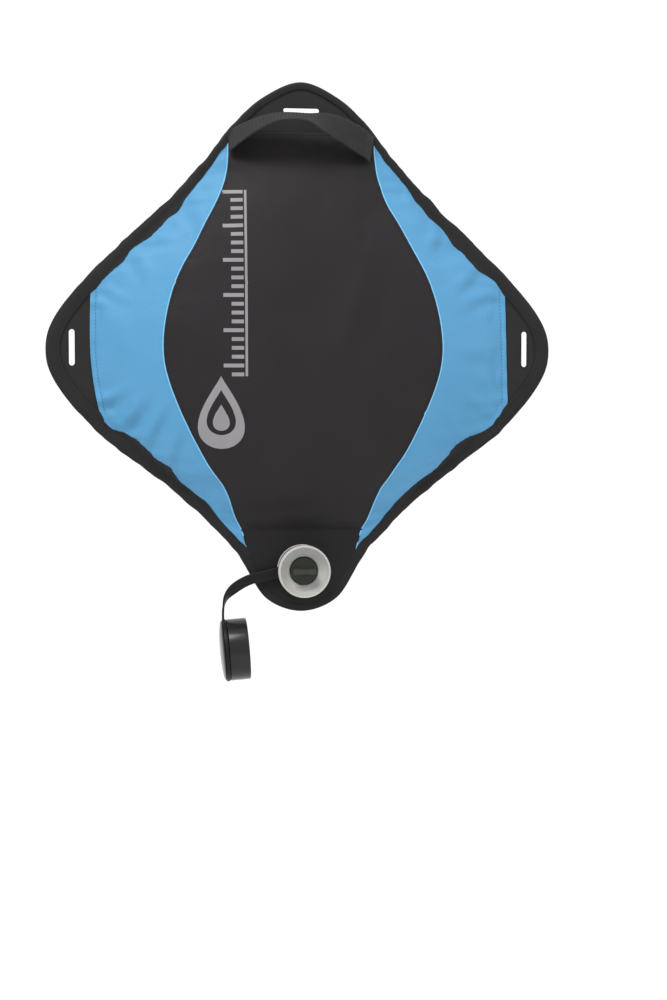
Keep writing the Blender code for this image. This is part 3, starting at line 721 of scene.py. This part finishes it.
def make_cover(front, back):
    bottom = PATCH_SEAM_Z - 0.0008
    panels = [
        ("front_centre_cloth", "front_centre_panel", front, TOP_SEAM_Z, bottom, seam_left, seam_x,
         190, 110, BLACK, "black_cloth"),
        ("left_blue_cloth", "side_panel_left", front, BLUE_TOP_Z, BLUE_TIP_Z, cover_left, seam_left, 240,
         96, BLUE, "blue_cloth"),
        ("right_blue_cloth", "side_panel_right", front, BLUE_TOP_Z, BLUE_TIP_Z, seam_x, cover_right,
         240, 96, BLUE, "blue_cloth"),
        ("back_cloth", "back_panel", back, TOP_SEAM_Z, INNER[-1].y - 0.0015, cover_left, cover_right,
         170, 120, BLACK, "black_cloth"),
    ]
    for name, node, sheet, top, low, left, right, rows, columns, look, slot in panels:
        panel = slab(name, top, low, left, right, rows, columns, sheet.point, -sheet.side * CLOTH, look)
        place_piece(panel, "bag", slot, node)


def make_seam_edges_with_painted_highlight(front):
    """Turned edges of the side panels: a thin ridge along each seam, coloured paler than the blue cloth as
    a painted highlight.
    """
    seam = [p for p in SEAM_LINE if BLUE_TOP_Z > p.y > BLUE_TIP_Z + 0.001]
    for side, sign in (("left", -1), ("right", 1)):
        centres = []
        for point, _ in resample(seam, 0.0013):
            centres.append(front.point(sign * (point.x + 0.0005), point.y))
        sections = []
        for i, centre in enumerate(centres):
            along = (centres[min(i + 1, len(centres) - 1)] - centres[max(i - 1, 0)]).normalized()
            across = along.cross(FORWARD).normalized()
            sections.append(ellipse(centre, across, FORWARD, 0.00050, 0.00032, 8))
        place_piece(sweep(side + "_seam_edge", sections, SEAM_HIGHLIGHT_BLUE), "bag", "blue_cloth")


FILM_THICK = 0.0002
NECK_HOLE_R = 0.0148     # hole in the cloth and the film for the gland's neck


def film_right(z):
    return min(inner_x(z), TAB_SEAM_X) - 0.0009


def film_left(z):
    return -film_right(z)


def make_bladder():
    """Film bladder that lies against the inside of the cloth."""
    for name, node, side in (("bladder_front_skin", "bladder_front_film", -1),
                             ("bladder_back_skin", "bladder_back_film", 1)):
        def film_point(x, z):
            crease = 0.0002 * noise.noise((x * 70, z * 70, 11.0))
            return x, side * (lining(x, z, side) - 0.0010 + crease), z

        film = slab(name, TOP_SEAM_Z - 0.0009, INNER[-1].y + 0.0012, film_left, film_right, 90, 70,
                    film_point, -side * FILM_THICK, FILM)
        if side < 0:
            cut_slot(film, neck_hole())
        place_piece(film, "bag", "film", node)


def neck_hole():
    turns = [2 * math.pi * k / 48 for k in range(48)]
    return [Vector((NECK_HOLE_R * math.cos(t), TAP_Z + NECK_HOLE_R * math.sin(t))) for t in turns]


def surface_frame(sheet, x, z, towards):
    """Point, direction and outward normal of the cloth at (x, z), for stitching."""
    step = 0.0006
    here = sheet.point(x, z)
    ahead = sheet.point(x + towards.x * step, z + towards.y * step) - here
    across = sheet.point(x - towards.y * step, z + towards.x * step) - here
    out = ahead.cross(across).normalized()
    if out.y * sheet.side < 0:
        out.negate()
    return here, ahead, out


def seam_stitches(sheet, line, offset, pitch=0.0027):
    """Places of a row of stitches beside a line of (x, z) points."""
    places = []
    points = resample(line, pitch)
    for (here, _), (ahead, _) in zip(points, points[1:]):
        along = (ahead - here).normalized()
        side = Vector((along.y, -along.x))
        spot = here + side * offset
        places.append(surface_frame(sheet, spot.x, spot.y, along))
    return places


def make_stitching(front):
    seam = [p for p in SEAM_LINE if BLUE_TOP_Z > p.y > PATCH_SEAM_Z + 0.002]
    for name, sign in (("left", -1), ("right", 1)):
        line = [Vector((sign * p.x, p.y)) for p in seam]
        dark = stitch_row(name + "_seam_stitching", seam_stitches(front, line, sign * 0.0016), BLACK_THREAD)
        top = z_at_width(TAB_SEAM_X - 0.0045, True) - 0.001
        low = z_at_width(TAB_SEAM_X - 0.0085, False) + 0.001
        heights = [top + (low - top) * t / 16 for t in range(17)]
        fold = [Vector((sign * (hem_x(sign, z) - 0.0042), z)) for z in heights]
        blue = stitch_row(name + "_tab_stitching", seam_stitches(front, fold, 0.0), BLUE_THREAD,
                          radius=0.0002)
        place_piece(dark, "bag", "black_cloth")
        place_piece(blue, "bag", "blue_cloth")
    line = [Vector((-0.040 + 0.08 * t / 10, PATCH_SEAM_Z + 0.0022)) for t in range(11)]
    hem = stitch_row("patch_seam_stitching", seam_stitches(front, line, 0.0), BLACK_THREAD)
    line = [Vector((-0.050 + 0.1 * t / 10, TOP_SEAM_Z - 0.0022)) for t in range(11)]
    head = stitch_row("top_seam_stitching", seam_stitches(front, line, 0.0), BLACK_THREAD)
    for piece in (hem, head):
        place_piece(piece, "bag", "black_cloth")


def z_at_width(x, above):
    """Height where the inside of the binding passes x, above or below the bag's middle."""
    for low, high in zip(INNER, INNER[1:]):
        if (low.x - x) * (high.x - x) <= 0 and (low.y > CENTRE_Z) == above:
            return low.y + (high.y - low.y) * (x - low.x) / (high.x - low.x)
    raise ValueError("the binding does not pass this width")


# Binding --------------------------------------------------------------------
BINDING_SECTION = [(1.03, 0.30), (1.01, 0.72), (0.96, 0.92), (0.90, 0.96), (0.85, 0.92), (0.80, 0.78),
                   (0.75, 0.94), (0.68, 1.02), (0.60, 1.05), (0.50, 1.07), (0.40, 1.08), (0.30, 1.06),
                   (0.20, 1.02), (0.09, 0.84), (0.03, 0.52), (0.0, 0.0)]


def binding_stations():
    """Closed run round the bag: (outer point, inward direction, distance run, waves)."""
    right = EDGE
    left = [Vector((-p.x, p.y)) for p in EDGE][::-1]
    run = resample(right + left[1:], 0.0016)
    points = [p for p, _ in run][:-1]
    count = len(points)
    stations = []
    for i, point in enumerate(points):
        along = (points[(i + 1) % count] - points[i - 1]).normalized()
        inward = Vector((along.y, -along.x))
        angle = 2 * math.pi * i / count
        ring = Vector((math.cos(angle), math.sin(angle), 0.0))
        fine = noise.noise(ring * 21.0)
        medium = noise.noise(ring * 9.0 + Vector((3.0, 0.0, 5.0)))
        calm = corner_calm(point)
        edge = (0.0007 * fine + 0.0011 * medium) * calm
        depth = 0.0013 * noise.noise(ring * 13.0 + Vector((0.0, 7.0, 2.0))) * calm
        lip = 0.0062 * noise.noise(ring * 6.5 + Vector((2.0, 4.0, 9.0)))
        lip += 0.0012 * noise.noise(ring * 16.0) + 0.0005 * noise.noise(ring * 60.0)
        lip *= calm * (band_width(point.y) / BINDING_WIDTH) ** 2
        lip *= 1.0 - 0.8 * ramp(point.y, -0.275, -0.310)
        lip += 0.0012 * ramp(point.y, -0.326, -0.338) * ramp(abs(point.x), 0.028, 0.036)
        stations.append((point + inward * edge, inward, lip, depth))
    return stations


def corner_calm(point):
    """1 along the sides, 0 at the flat corner tabs."""
    far = min((point - Vector(tip)).length for tip in ((0.0, 0.0205), (0.192, -0.181), (-0.192, -0.181),
                                                       (0.0, -0.38)))
    return ease((far - 0.045) / 0.03)


def binding_point(station, t, half, sheet):
    """Point of the binding's face, raised where the cloth under it stands proud."""
    point, inward, lip, depth = station
    spot = point + inward * ((band_width(point.y) + 0.0006 + lip) * t)
    height = BINDING_HALF * half
    if spot.y > BLUE_TIP_Z:
        proud = sheet.side * sheet.point(spot.x, spot.y).y + 0.0007 * half
        height = max(height, proud * ramp(t, 0.05, 0.28))
    return Vector((spot.x, depth * (1 - t) + sheet.side * height, spot.y))


def binding_part(name, stations, sheets, material):
    sections = []
    for station in stations:
        loop = [binding_point(station, t, half, sheets[0]) for t, half in BINDING_SECTION]
        loop += [binding_point(station, t, half, sheets[1]) for t, half in BINDING_SECTION[-2::-1]]
        sections.append(loop)
    return sweep(name, sections, material)


def make_binding(sheets):
    stations = binding_stations()
    count = len(stations)
    inside = [abs(s[0].x) <= TAB_SEAM_X for s in stations]
    parts = []
    start = next(i for i in range(count) if inside[i] and not inside[i - 1])
    for i in range(start, start + count):
        k = i % count
        if i == start or inside[k] != inside[(k - 1) % count]:
            parts.append([stations[k]] if i == start else [stations[(k - 1) % count], stations[k]])
        else:
            parts[-1].append(stations[k])
    parts[-1].append(stations[start])
    for part in parts:
        middle = part[len(part) // 2][0]
        if abs(middle.x) > TAB_SEAM_X:
            side = "left" if middle.x < 0 else "right"
            tape = binding_part(side + "_tab_tape", part, sheets, TAPE)
            bend_tab(tape)
            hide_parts(side + "_tab_binding")
        else:
            level = "upper" if middle.y > CENTRE_Z else "lower"
            tape = binding_part(level + "_tape", part, sheets, TAPE)
            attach(tape, "bag")
            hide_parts(level + "_binding")
    make_binding_stitches(stations, sheets[0])


def make_binding_stitches(stations, sheet):
    """Thread along the inner edge of the binding, on the bag's front."""
    rows = {"bag": [], "left": [], "right": []}
    for here, there in zip(stations[::2], stations[1::2]):
        middle = binding_point(here, 0.80, 0.78, sheet)
        along = binding_point(there, 0.80, 0.78, sheet) - middle
        row = "bag" if abs(middle.x) < TAB_SEAM_X else ("left" if middle.x < 0 else "right")
        rows[row].append((middle, along, FORWARD))
    for row, places in rows.items():
        piece = stitch_row(row + "_tape_stitching", places, BLACK_THREAD)
        if row == "bag":
            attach(piece, "bag")
        else:
            bend_tab(piece)


# Corner tabs ----------------------------------------------------------------
def bend_tab(obj):
    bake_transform(obj)


def slot_loop(centre, length, width, along_x, steps=10):
    """Outline of a slot with round ends, in the bag's plane."""
    radius = width / 2
    reach = (length - width) / 2
    loop = []
    for end in (1, -1):
        for k in range(steps + 1):
            t = math.pi * k / steps + (0.0 if end == 1 else math.pi)
            a, b = radius * math.cos(t), end * reach + radius * math.sin(t)
            loop.append(Vector((centre.x - b, centre.y + a)) if along_x
                        else Vector((centre.x + a, centre.y + b)))
    return loop


def cut_slot(obj, loop):
    """Cuts a slot through a plate, along Y."""
    cut_away(obj, sweep("slot_cutter", [[(p.x, y, p.y) for p in loop] for y in (-0.01, 0.01)], BLACK))


def slot_rim(name, loop):
    """Overlocked edge of a slot, front and back in one band."""
    section = [(0.0, 1.25), (0.35, 1.45), (0.75, 1.3), (0.95, 1.0)]
    section = [(a, -b) for a, b in section[::-1]] + section
    centre = sum(loop, Vector((0.0, 0.0))) / len(loop)
    sections = []
    count = len(loop)
    for k, point in enumerate(loop):
        along = (loop[(k + 1) % count] - loop[k - 1]).normalized()
        out = Vector((along.y, -along.x))
        if out.dot(point - centre) < 0:
            out.negate()
        ring = []
        for a, b in section:
            spot = point + out * (a * RIM_WIDTH)
            ring.append(Vector((spot.x, b * TAB_HALF, spot.y)))
        sections.append(ring)
    return sweep(name, sections, TAPE, cyclic=True)


def tab_point(x, z):
    return x, -TAB_HALF - 0.00025 * noise.noise((x * 60, 0.0, z * 60)), z


def tab_plate(name, top, bottom, left, right, rows, columns):
    """Laminated corner tab: a flat plate with soft, slightly uneven faces."""
    return slab(name, top, bottom, left, right, rows, columns, tab_point, 2 * TAB_HALF, TAB)


SLOT_LENGTH = 0.0272
SIDE_SLOT_WIDTH = 0.0043
TOP_SLOT_WIDTH = 0.0036
SIDE_SLOT = Vector((0.1725, -0.1795))
TOP_SLOT = Vector((0.0, -0.0008))
TAB_HALF = 0.0009
RIM_WIDTH = 0.0011      # width of the overlocked edge round a slot
TAB_OVERLAP = 0.0012    # how far a tab reaches under its neighbours


def tab_right(z):
    return inner_x(z) + TAB_OVERLAP


def tab_left(z):
    return -tab_right(z)


def right_hem(z):
    return hem_x(1, z) - TAB_OVERLAP


def left_hem(z):
    return TAB_OVERLAP - hem_x(-1, z)


def make_tabs():
    for side, sign in (("left", -1), ("right", 1)):
        top = z_at_width(TAB_SEAM_X - 0.0030, True)
        low = z_at_width(TAB_SEAM_X - 0.0085, False)
        edges = (right_hem, tab_right) if sign > 0 else (tab_left, left_hem)
        plate = tab_plate(side + "_tab_cloth", top, low, *edges, 60, 26)
        loop = slot_loop(Vector((sign * SIDE_SLOT.x, SIDE_SLOT.y)), SLOT_LENGTH, SIDE_SLOT_WIDTH, False)
        cut_slot(plate, loop)
        rim = slot_rim(side + "_slot_rim", loop)
        for piece in (plate, rim):
            bend_tab(piece)
        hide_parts(side + "_tab")
    plate = tab_plate("top_tab_cloth", INNER[0].y + 0.0006, TOP_SEAM_Z - 0.0015, tab_left, tab_right,
                      24, 60)
    loop = slot_loop(TOP_SLOT, SLOT_LENGTH, TOP_SLOT_WIDTH, True)
    cut_slot(plate, loop)
    place_piece(plate, "bag", "black_cloth", "top_tab")
    place_piece(slot_rim("top_slot_rim", loop), "bag", "black_cloth")


def patch_right(z):
    edge = inner_x(z)
    if z > BLUE_TIP_Z:
        edge = min(seam_x(z), edge)
    return edge + 0.0008


def patch_left(z):
    return -patch_right(z)


def patch_point(x, z):
    edge = (inner_x(z) - abs(x)) / math.sqrt(2)
    rise = PATCH_THICK * min(max(edge / 0.004, 0.0), 1.0)
    wrinkle = 0.0004 * noise.noise((x * 45, 1.0, z * 45)) * min(max(edge / 0.01, 0.0), 1.0)
    return x, -0.0013 - rise - wrinkle, z


def make_patch():
    """Reinforced bottom corner with the round hole for the tap."""
    patch = slab("tap_patch_cloth", PATCH_SEAM_Z + 0.0006, INNER[-1].y - 0.0008, patch_left, patch_right,
                 40, 50, patch_point, PATCH_THICK, PATCH)
    cut_slot(patch, neck_hole())
    place_piece(patch, "bag", "black_cloth", "tap_patch")


# Handle ---------------------------------------------------------------------
HANDLE_END_X = 0.0545
HANDLE_SPLIT_X = 0.044
WEB_WIDTH = 0.020
WEB_HALF = 0.0008
ANCHOR_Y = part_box("handle_anchor_left")[1][1] - 0.0008
HANDLE_STAND_OFF = 0.0170
# Middle line of the webbing as (x, z), and its lean in degrees at points along it
HANDLE_LINE = [(-0.0545, -0.0250), (-0.0400, -0.0170), (-0.0270, -0.0116), (-0.0150, -0.0092),
               (0.0, -0.0096), (0.0130, -0.0124), (0.0230, -0.0156), (0.0370, -0.0216), (0.0530, -0.0300)]
HANDLE_LEANS = [(-0.0545, 32), (-0.0400, 48), (-0.0270, 59), (-0.0150, 66), (0.0, 66), (0.0070, 56),
                (0.0130, 40), (0.0230, 20), (0.0370, 6), (0.0530, 0)]


def read_along(line, x):
    """Value at x on a smooth line through (x, value) points."""
    for low, high in zip(line, line[1:]):
        if low.x <= x <= high.x:
            return low.y + (high.y - low.y) * (x - low.x) / (high.x - low.x)
    return line[0].y if x < line[0].x else line[-1].y


HANDLE_CURVE = spline_through(HANDLE_LINE, 12)
HANDLE_TURNS = spline_through(HANDLE_LEANS, 12)


def handle_centre(x):
    """Middle line of the webbing; its ends drop onto the side seams."""
    along = math.cos(0.5 * math.pi * min(abs(x) / HANDLE_END_X, 1.0))
    y = ANCHOR_Y - HANDLE_STAND_OFF * along ** 0.8 + 0.0030 * ramp(abs(x), 0.046, HANDLE_END_X)
    return Vector((x, y, read_along(HANDLE_CURVE, x)))


def handle_lean(x):
    """Direction across the webbing: it faces forward at its right end and turns over on the left."""
    lean = math.radians(read_along(HANDLE_TURNS, x))
    return Vector((0.0, math.sin(lean), math.cos(lean)))


def webbing_piece(name, start, stop, steps, across=36):
    """Ribbed webbing between two x positions."""
    sections = []
    for i in range(steps + 1):
        x = start + (stop - start) * i / steps
        centre = handle_centre(x)
        step = 0.0005
        ahead = (handle_centre(x + step) - handle_centre(x - step)).normalized()
        lean = handle_lean(x)
        wide = (lean - ahead * lean.dot(ahead)).normalized()
        out = ahead.cross(wide).normalized()
        if out.y > 0:
            out.negate()
        face, rear = [], []
        for k in range(across + 1):
            u = k / across - 0.5
            round_off = math.sqrt(max(1 - (2 * abs(u)) ** 14, 0.0))
            rib = 0.00016 * math.cos(2 * math.pi * u * 9) * (1 - bell(abs(u) - 0.5, 0.05))
            yarn = 0.00007 * math.sin(x / 0.00042 + (math.pi if int((u + 0.5) * 18) % 2 else 0.0))
            half = (WEB_HALF + rib + yarn) * round_off
            spot = centre + wide * (u * WEB_WIDTH)
            face.append(spot + out * half)
            rear.append(spot - out * half)
        sections.append(face + rear[-2:0:-1])
    return sweep(name, sections, WEB, smooth_angle=60)


def make_handle():
    middle = webbing_piece("carry_handle_webbing", -HANDLE_SPLIT_X, HANDLE_SPLIT_X, 230)
    place_piece(middle, "handle", "webbing", "carry_handle")
    for side, sign in (("left", -1), ("right", 1)):
        end = -HANDLE_END_X - 0.0006 if sign < 0 else HANDLE_END_X - 0.0018
        piece = webbing_piece("handle_end_" + side, sign * HANDLE_SPLIT_X, end, 34)
        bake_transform(piece)
        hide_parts("handle_anchor_" + side)


# Printed graphic ------------------------------------------------------------
INK_LIFT = 0.00012      # how far the ink stands above the cloth
INK_DEPTH = 0.0004
SCALE_X = (-0.0603, -0.0453)
SCALE_Z = (-0.064, -0.200)
SCALE_MARKS = 22
MARK_HALF = 0.0014
DROP_X = -0.0622


def print_patch(name, sheet, outlines):
    """Thin ink shapes on the cloth; each outline is a function of (u, v) in 0..1 and its steps."""
    bm = bmesh.new()
    for place, columns, rows in outlines:
        grid = []
        for i in range(rows + 1):
            line = []
            for j in range(columns + 1):
                x, z = place(j / columns, i / rows)
                spot = sheet.point(x, z)
                line.append(bm.verts.new(spot + Vector((0.0, sheet.side * INK_LIFT, 0.0))))
            grid.append(line)
        for i in range(rows):
            for j in range(columns):
                bm.faces.new((grid[i][j], grid[i][j + 1], grid[i + 1][j + 1], grid[i + 1][j]))
    bmesh.ops.remove_doubles(bm, verts=bm.verts, dist=0.000002)
    thicken(bm, -sheet.side * INK_DEPTH)
    place_piece(add_mesh(name, bm, PRINT, 60), "bag", "black_cloth")


def bar(x0, x1, z0, z1):
    """Rectangle between two corners, with a point about every 1.2 mm."""
    columns, rows = (max(round(abs(size) / 0.0012), 1) for size in (x1 - x0, z1 - z0))
    return (lambda u, v: (x0 + (x1 - x0) * u, z0 + (z1 - z0) * v)), columns, rows


def drop_shape(x, z, size, inner=0.0):
    """Ring-shaped water drop, pointed at the top."""
    def place(u, v):
        t = 2 * math.pi * u
        radius = size * (inner + (1 - inner) * v)
        round_x = math.sin(t) * math.sin(t / 2) ** 1.35
        return x + radius * round_x * 1.02, z - radius * math.cos(math.pi - t) * 1.15
    return place, 72, 4


def make_print(front):
    """Plain fill scale and water drop."""
    left, right = SCALE_X
    top, low = SCALE_Z
    shapes = []
    for k in range(SCALE_MARKS):
        z = top + (low - top) * k / (SCALE_MARKS - 1)
        start = left if k % 4 == 0 else left + 0.0060
        shapes.append(bar(start, right, z - MARK_HALF, z + MARK_HALF))
    shapes.append(bar(right + 0.0010, right + 0.0028, low - MARK_HALF, top + MARK_HALF))
    print_patch("fill_scale_print", front, shapes)
    print_patch("water_drop_print", front, [drop_shape(DROP_X, -0.228, 0.0235, 0.62),
                                            drop_shape(DROP_X, -0.2318, 0.0085, 0.02)])


# Tap ------------------------------------------------------------------------
TAP_ORIGIN = Vector((0.0, 0.0, TAP_Z))


def make_collar():
    profile = [(0.0190, 0.0260), (0.0197, 0.0252), (0.0197, 0.0238), (0.0193, 0.0234), (0.0193, 0.0226),
               (0.0197, 0.0222), (0.0197, 0.0200), (0.0178, 0.0120), (0.0172, 0.0077), (0.0093, 0.0077),
               (0.0093, 0.0155), (0.0109, 0.0155), (0.0109, 0.0178), (0.0140, 0.0196), (0.0170, 0.0228),
               (0.0180, 0.0254), (0.0184, 0.0260)]
    profile = rounded(profile, 0.0006)
    collar = turned("tap_collar_body", profile, TAP_ORIGIN, FORWARD, CLEAR, steps=128, closed=True)
    bm = bmesh.new()
    bmesh.ops.create_cone(bm, cap_ends=True, segments=40, radius1=0.0040, radius2=0.0034, depth=0.020)
    bmesh.ops.translate(bm, verts=bm.verts, vec=(0.0, -0.0116, TAP_Z - 0.014))
    cutter = add_mesh("outlet_cutter", bm, CLEAR)
    cut_away(collar, cutter)
    collar.data.set_sharp_from_angle(angle=math.radians(34))
    place_piece(collar, "tap", "clear_plastic", "tap_collar")


def make_paddle():
    profile = [(0.0, 0.0178), (0.0098, 0.0178), (0.0105, 0.0172), (0.0105, 0.0158), (0.0, 0.0158)]
    disc = turned("paddle_disc", rounded(profile, 0.0004), TAP_ORIGIN, FORWARD, GREY, steps=96)
    bm = bmesh.new()
    bmesh.ops.create_cube(bm, size=1.0)
    bmesh.ops.scale(bm, verts=bm.verts, vec=(0.0170, 0.0120, 0.0042))
    bmesh.ops.subdivide_edges(bm, edges=[e for e in bm.edges], cuts=5, use_grid_fill=True)
    for v in bm.verts:
        pinch = 1 - 0.28 * bell(v.co.x, 0.0045) * (0.5 - v.co.y / 0.0120)
        v.co.z *= pinch
        v.co += Vector((0.0, -0.0228, TAP_Z))
    blade = add_mesh("paddle_blade", bm, GREY)
    bevel = blade.modifiers.new("Edges", "BEVEL")
    bevel.width = 0.0011
    bevel.segments = 4
    bevel.limit_method = "ANGLE"
    apply_modifiers(blade)
    blade.data.shade_smooth()
    place_piece(disc, "valve", "grey_plastic", "turn_paddle")
    place_piece(blade, "valve", "grey_plastic")


# Strap and cap --------------------------------------------------------------
STRAP_Y = -0.0062
STRAP_HALF_WIDTH = 0.0040
STRAP_HALF = 0.00085
STRAP_ROUTE = [(-0.0150, -0.3490), (-0.028, -0.3520), (-0.040, -0.3548), (-0.0505, -0.3604),
               (-0.0575, -0.3675), (-0.0602, -0.3760), (-0.0605, -0.3858)]
CAP_TILT = math.radians(4.4)
CAP_AXIS = Vector((-math.cos(CAP_TILT), 0.0, -math.sin(CAP_TILT)))
CAP_CENTRE = Vector((-0.0507, STRAP_Y, -0.4078))
CAP_LENGTH = 0.0186
CAP_OPEN = CAP_CENTRE - CAP_AXIS * (CAP_LENGTH / 2)


def make_strap():
    line = spline_through(STRAP_ROUTE, 14)
    run = resample(line, 0.0009)
    total = run[-1][1]
    sections = []
    for i, (point, length) in enumerate(run):
        t = length / total
        ahead = run[min(i + 1, len(run) - 1)][0] - run[max(i - 1, 0)][0]
        ahead = Vector((ahead.x, 0.0, ahead.y)).normalized()
        flat = Vector((-ahead.z, 0.0, ahead.x))
        turn = 0.5 * math.pi * ramp(t, 0.48, 0.90)
        wide = flat * math.cos(turn) + Vector((0.0, 1.0, 0.0)) * math.sin(turn)
        thick = ahead.cross(wide).normalized()
        width = STRAP_HALF_WIDTH * (1.0 + 0.12 * (1 - ease(t / 0.2)) + 0.10 * ease((t - 0.9) / 0.1))
        centre = Vector((point.x, STRAP_Y + 0.0003, point.y))
        loop = []
        for k in range(20):
            a = 2 * math.pi * k / 20
            u = math.copysign(abs(math.cos(a)) ** 0.35, math.cos(a))
            v = math.copysign(abs(math.sin(a)) ** 0.55, math.sin(a))
            loop.append(centre + wide * (u * width) + thick * (v * STRAP_HALF))
        sections.append(loop)
    strap = sweep("tether_strap", sections, STRAP)
    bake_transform(strap)
    profile = [(0.0149, 0.0050), (0.0185, 0.0050), (0.0185, 0.0070), (0.0149, 0.0070)]
    ring = turned("tether_ring", soft_section(profile), TAP_ORIGIN, FORWARD, STRAP, closed=True)
    place_piece(ring, "tether", "strap_rubber", "tether_upper")
    profile = [(0.0215, 0.0155), (0.0236, 0.0155), (0.0236, 0.0183), (0.0215, 0.0183)]
    loop = turned("cap_loop", soft_section(profile), CAP_OPEN, CAP_AXIS, STRAP, steps=128, closed=True)
    place_piece(loop, "cap_strap", "strap_rubber", "tether_lower")


def soft_section(corners, radius=0.0005, steps=3):
    """Closed profile with all its corners rounded."""
    wrapped = [corners[-1]] + list(corners) + [corners[0]]
    return rounded(wrapped, radius, steps)[1:-1]


def make_cap():
    profile = [(0.0, 0.0214), (0.0060, 0.0213), (0.0120, 0.0210), (0.0170, 0.0205), (0.0205, 0.0199),
               (0.0223, 0.0192), (0.0227, 0.0187), (0.0212, 0.0186), (0.0212, 0.0152), (0.0229, 0.0152),
               (0.0233, 0.0146), (0.0233, 0.0012), (0.0229, 0.0002), (0.0224, 0.0), (0.0211, 0.0),
               (0.0208, 0.0006), (0.0208, 0.0140), (0.0190, 0.0145), (0.0190, 0.0182), (0.0, 0.0182)]
    cap = turned("cap_shell", rounded(profile, 0.0005), CAP_OPEN, CAP_AXIS, GLOSS, steps=128)
    place_piece(cap, "cap_body", "cap_plastic", "cap")


def finish_cad_nodes():
    """Detailed materials on the CAD nodes that stay."""
    looks = {"tap_plug": CLEAR, "gland": WHITE, "gland_lock_ring": WHITE, "valve_rotor": WHITE,
             "rotor_clip": GREY, "plug_seal": RUBBER, "rotor_seal_front": RUBBER,
             "rotor_seal_back": RUBBER, "cap_liner": RUBBER}
    for node, look in looks.items():
        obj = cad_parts[node]
        obj.data.materials.clear()
        obj.data.materials.append(look)


# Studio ---------------------------------------------------------------------
SENSOR = 36.0           # mm
FOCAL_LENGTH = 1.662    # in heights of the picture
CAMERA_PLACE = (-0.1225, -1.2615, -0.230)
CAMERA_DIP = 2.93       # degrees below the level
CAMERA_TURN = 6.65      # degrees to the right
FLOOR_DROP = 0.45       # from the lowest point of the object


def area_light(name, place, target, size, power):
    data = bpy.data.lights.new(name, "AREA")
    data.shape = "RECTANGLE"
    data.size, data.size_y = size
    data.energy = power
    obj = bpy.data.objects.new(name, data)
    obj.location = place
    obj.rotation_euler = (Vector(target) - Vector(place)).to_track_quat("-Z", "Y").to_euler()
    bpy.context.scene.collection.objects.link(obj)


def make_studio():
    bm = bmesh.new()
    bmesh.ops.create_grid(bm, x_segments=2, y_segments=2, size=6.0)
    floor_look = Shade("floor_look", 0.9)
    grain = floor_look.noise(3.0, 2.0)
    floor_look.finish(floor_look.mix(grain, (0.95, 0.95, 0.95), (0.97, 0.97, 0.97)))
    floor = add_mesh("floor", bm, floor_look.material)
    floor.location = (0.0, 0.0, cad_box[0][2] - FLOOR_DROP)
    world = bpy.data.worlds.new("studio")
    world.use_nodes = True
    world.node_tree.nodes["Background"].inputs["Color"].default_value = (1.0, 1.0, 1.0, 1.0)
    world.node_tree.nodes["Background"].inputs["Strength"].default_value = 1.06
    bpy.context.scene.world = world
    target = (0.0, 0.0, -0.2)
    area_light("key", (-0.7, -1.2, 1.6), target, (1.1, 0.8), 52.0)
    area_light("side", (1.3, -0.9, 0.5), target, (0.5, 1.2), 5.0)


def make_camera():
    data = bpy.data.cameras.new("camera")
    data.sensor_width = SENSOR
    data.lens = SENSOR * FOCAL_LENGTH
    data.clip_start = 0.01
    data.clip_end = 50.0
    obj = bpy.data.objects.new("camera", data)
    obj.location = CAMERA_PLACE
    obj.rotation_euler = (math.radians(90 - CAMERA_DIP), 0.0, math.radians(-CAMERA_TURN))
    bpy.context.scene.collection.objects.link(obj)
    bpy.context.scene.camera = obj


make_camera()
front_sheet, back_sheet = make_sheets()
make_cover(front_sheet, back_sheet)
make_stitching(front_sheet)
make_seam_edges_with_painted_highlight(front_sheet)
make_bladder()
make_binding((front_sheet, back_sheet))
make_tabs()
make_patch()
make_handle()
make_print(front_sheet)
make_collar()
make_paddle()
make_strap()
make_cap()
finish_cad_nodes()
make_studio()
bpy.context.scene.view_settings.view_transform = "Standard"
